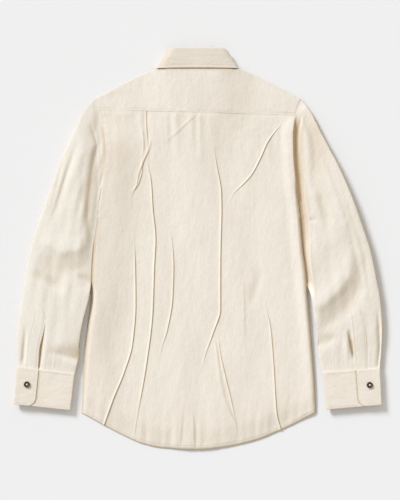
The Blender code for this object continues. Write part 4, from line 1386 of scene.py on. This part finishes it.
def tubes(name, paths, radius, material, sides=6):
    """Round threads along the given paths, in one mesh."""
    points, faces = [], []
    for path in paths:
        path = np.array(path, float)
        run = np.gradient(path, axis=0)
        run /= np.maximum(np.linalg.norm(run, axis=1, keepdims=True), 1e-9)
        aside = np.cross(run, (0.0, 0.0, 1.0))
        aside /= np.maximum(np.linalg.norm(aside, axis=1, keepdims=True), 1e-9)
        over = np.cross(aside, run)
        start = len(points)
        count = len(path)
        for k in range(count):
            for side in range(sides):
                angle = 2 * math.pi * side / sides
                size = radius * (0.45 if k in (0, count - 1) else 1.0)
                points.append(path[k] + size * (math.cos(angle) * aside[k] + math.sin(angle) * over[k]))
        for k in range(count - 1):
            for side in range(sides):
                beyond = (side + 1) % sides
                faces.append((start + k * sides + side, start + k * sides + beyond,
                              start + (k + 1) * sides + beyond, start + (k + 1) * sides + side))
        faces.append([start + side for side in range(sides)][::-1])
        faces.append([start + (count - 1) * sides + side for side in range(sides)])
    return new_mesh(name, points, faces, material)


def stitches(name, lines, pitch=3.1, length=2.3, radius=0.22):
    """Rows of stitches over lines of points on the cloth."""
    paths = []
    for line in lines:
        line = np.array(line, float)
        steps = np.linalg.norm(np.diff(line, axis=0), axis=1)
        run = np.concatenate(((0,), np.cumsum(steps)))
        at = 0.6
        while at + length < run[-1]:
            where = at + length * np.linspace(0, 1, 4)
            x, y, z = (np.interp(where, run, line[:, axis]) for axis in range(3))
            paths.append(np.stack((x, y, z + radius * np.array((-0.7, 0.45, 0.45, -0.7))), 1))
            at += pitch
    return tubes(name, paths, radius, THREAD, sides=5)


def cuff_seams(rows, overlap_end):
    """Lines of the stitches inside a cuff's edges."""
    _, height = cuff_size(rows)
    inset = CUFF_STITCH / height
    lines = []
    for down in (CUFF_TOP + inset, 1 - inset):
        for start, end, level, on_top in (
            (0.04, overlap_end - (0.02 if down < 0.5 else 0.13), CUFF_OVERLAP_HEIGHT, 1.0),
            (overlap_end + 0.03, 0.96, CUFF_UNDERLAP_HEIGHT, 0.0),
        ):
            x, y = cuff_place(rows, np.linspace(start, end, 30), down)
            level = level - cuff_pinch((down - CUFF_TOP) * height, on_top)
            lines.append(stack(x, y, level + CUFF_CLOTH / 2 - 0.35))
    return lines


def placket_seams(rows, side, placket):
    """Lines of the stitches inside the long edges of a sleeve placket."""
    station = np.linspace(placket["station"][0], 0.985, 40)
    lines = []
    for share in (PLACKET_STITCH, 1 - PLACKET_STITCH):
        across = mix(along(placket, "left", station), along(placket, "right", station), share)
        x, y, z = sleeve_point(rows, side, across, station, slit=False)
        lines.append(stack(x, y, z + CLOTH / 2 + PLACKET_LIFT - 0.3))
    return lines


def collar_seam():
    """Line of the stitches inside the leaf's edge at the back of the neck."""
    line = []
    for t in np.linspace(-0.4, 0.4, 60):
        _, fold, edge = collar_lines(t)
        inward = (fold - edge) / np.linalg.norm(fold - edge)
        _, out = collar_directions(t)
        line.append(edge + inward * COLLAR_STITCH + out * 0.3)
    return [line]


def make_pieces():
    pieces = []

    def keep(piece, slot="shirt_cloth"):
        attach(piece, "root")
        pieces.append(piece)
        return piece

    back = keep(back_panel())
    yoke_piece = keep(yoke())
    left, right, placket = (keep(piece) for piece in fronts())
    sleeve_left = keep(sleeve("sleeve_left", SLEEVE_LEFT, -1, SLEEVE_LEFT_COTTON))
    sleeve_right = keep(sleeve("sleeve_right", SLEEVE_RIGHT, 1, SLEEVE_RIGHT_COTTON))
    for name, rows, side, strip, material in (
        ("sleeve_placket_left", SLEEVE_LEFT, -1, PLACKET_LEFT, SLEEVE_LEFT_COTTON),
        ("sleeve_placket_right", SLEEVE_RIGHT, 1, PLACKET_RIGHT, SLEEVE_RIGHT_COTTON),
    ):
        keep(sleeve_placket(name, rows, side, strip, material))
    cuff_left = keep(cuff("cuff_left", CUFF_LEFT, CUFF_OVERLAP_END_LEFT, -1, BAND_COTTON))
    cuff_right = keep(cuff("cuff_right", CUFF_RIGHT, CUFF_OVERLAP_END_RIGHT, 1, BAND_COTTON))
    stand, leaf = (keep(piece) for piece in collar(BAND_COTTON))

    x = np.linspace(-228, 231, 230)
    y = hem_line(x) + HEM_STITCH
    hem = keep(stitches("hem_stitches", [stack(x, y, back_surface(x, y))]))
    x = np.linspace(-190, 190, 200)
    y = yoke_seam(x) + YOKE_STITCH
    yoke_line = keep(stitches("yoke_stitches", [stack(x, y, back_height(x, y) + CLOTH / 2 - 0.2)]))
    cuff_left_line = keep(stitches("cuff_left_stitches", cuff_seams(CUFF_LEFT, CUFF_OVERLAP_END_LEFT)))
    cuff_right_line = keep(stitches("cuff_right_stitches", cuff_seams(CUFF_RIGHT, CUFF_OVERLAP_END_RIGHT)))
    lines = placket_seams(SLEEVE_LEFT, -1, PLACKET_LEFT)
    strip_left_line = keep(stitches("sleeve_placket_left_stitches", lines))
    lines = placket_seams(SLEEVE_RIGHT, 1, PLACKET_RIGHT)
    strip_right_line = keep(stitches("sleeve_placket_right_stitches", lines))
    leaf_line = keep(stitches("collar_leaf_stitches", collar_seam()))

    for name, rows in (("left", CUFF_LEFT), ("right", CUFF_RIGHT)):
        x, y = cuff_place(rows, CUFF_BUTTON_ACROSS, CUFF_BUTTON_DOWN)
        height = CUFF_OVERLAP_HEIGHT + CUFF_CLOTH / 2 + SEAM
        for piece in button(f"cuff_button_{name}_horn", f"cuff_button_{name}", float(x), float(y), height):
            keep(piece, "button")
    for piece in button("collar_button_horn", "collar_button", 0.0, COLLAR_BUTTON, 0.0):
        keep(piece, "button")
    for number in range(1, FRONT_BUTTONS + 1):
        y = FIRST_FRONT_BUTTON - (number - 1) * FRONT_BUTTON_SPACING
        for piece in button(f"front_button_{number}_horn", f"front_button_{number}", 0.0, y, 0.0):
            keep(piece, "button")


# Floor, light and camera

FLOOR_PAINT, _, floor_shader = new_material("floor_paint")
floor_shader.inputs["Base Color"].default_value = (0.868, 0.868, 0.878, 1.0)
floor_shader.inputs["Roughness"].default_value = 0.95
floor_shader.inputs["Specular IOR Level"].default_value = 0.1

FLOOR_HALF = 4000.0
FLOOR_CORNERS = [(FLOOR_HALF * x, FLOOR_HALF * y, 0) for x, y in ((-1, -1), (1, -1), (1, 1), (-1, 1))]
floor = new_mesh("floor", FLOOR_CORNERS, [(0, 1, 2, 3)], FLOOR_PAINT)

KEY_DIRECTION = Vector((-0.61, 0.69, 0.49))
key_light = bpy.data.lights.new("key", "SUN")
key_light.energy = 2.94
key_light.angle = math.radians(17)
key_light.color = (0.97, 1.0, 1.07)
key = bpy.data.objects.new("key", key_light)
key.rotation_euler = KEY_DIRECTION.to_track_quat("Z", "Y").to_euler()
bpy.context.scene.collection.objects.link(key)

world = bpy.data.worlds.new("studio")
bpy.context.scene.world = world
world.use_nodes = True
world.node_tree.nodes["Background"].inputs["Color"].default_value = (1.0, 0.975, 0.9, 1.0)
world.node_tree.nodes["Background"].inputs["Strength"].default_value = 0.58

VIEW_CENTRE = (3.5, -2.5)
VIEW_HEIGHT = 1000.0
CAMERA_DISTANCE = 3000.0
view = bpy.data.cameras.new("camera")
view.sensor_fit = "VERTICAL"
view.sensor_height = 24.0
view.lens = 24.0 * CAMERA_DISTANCE / VIEW_HEIGHT
camera = bpy.data.objects.new("camera", view)
camera.location = (VIEW_CENTRE[0] * MM, VIEW_CENTRE[1] * MM, CAMERA_DISTANCE * MM)
bpy.context.scene.collection.objects.link(camera)
bpy.context.scene.camera = camera
bpy.context.scene.view_settings.view_transform = "Standard"

make_pieces()
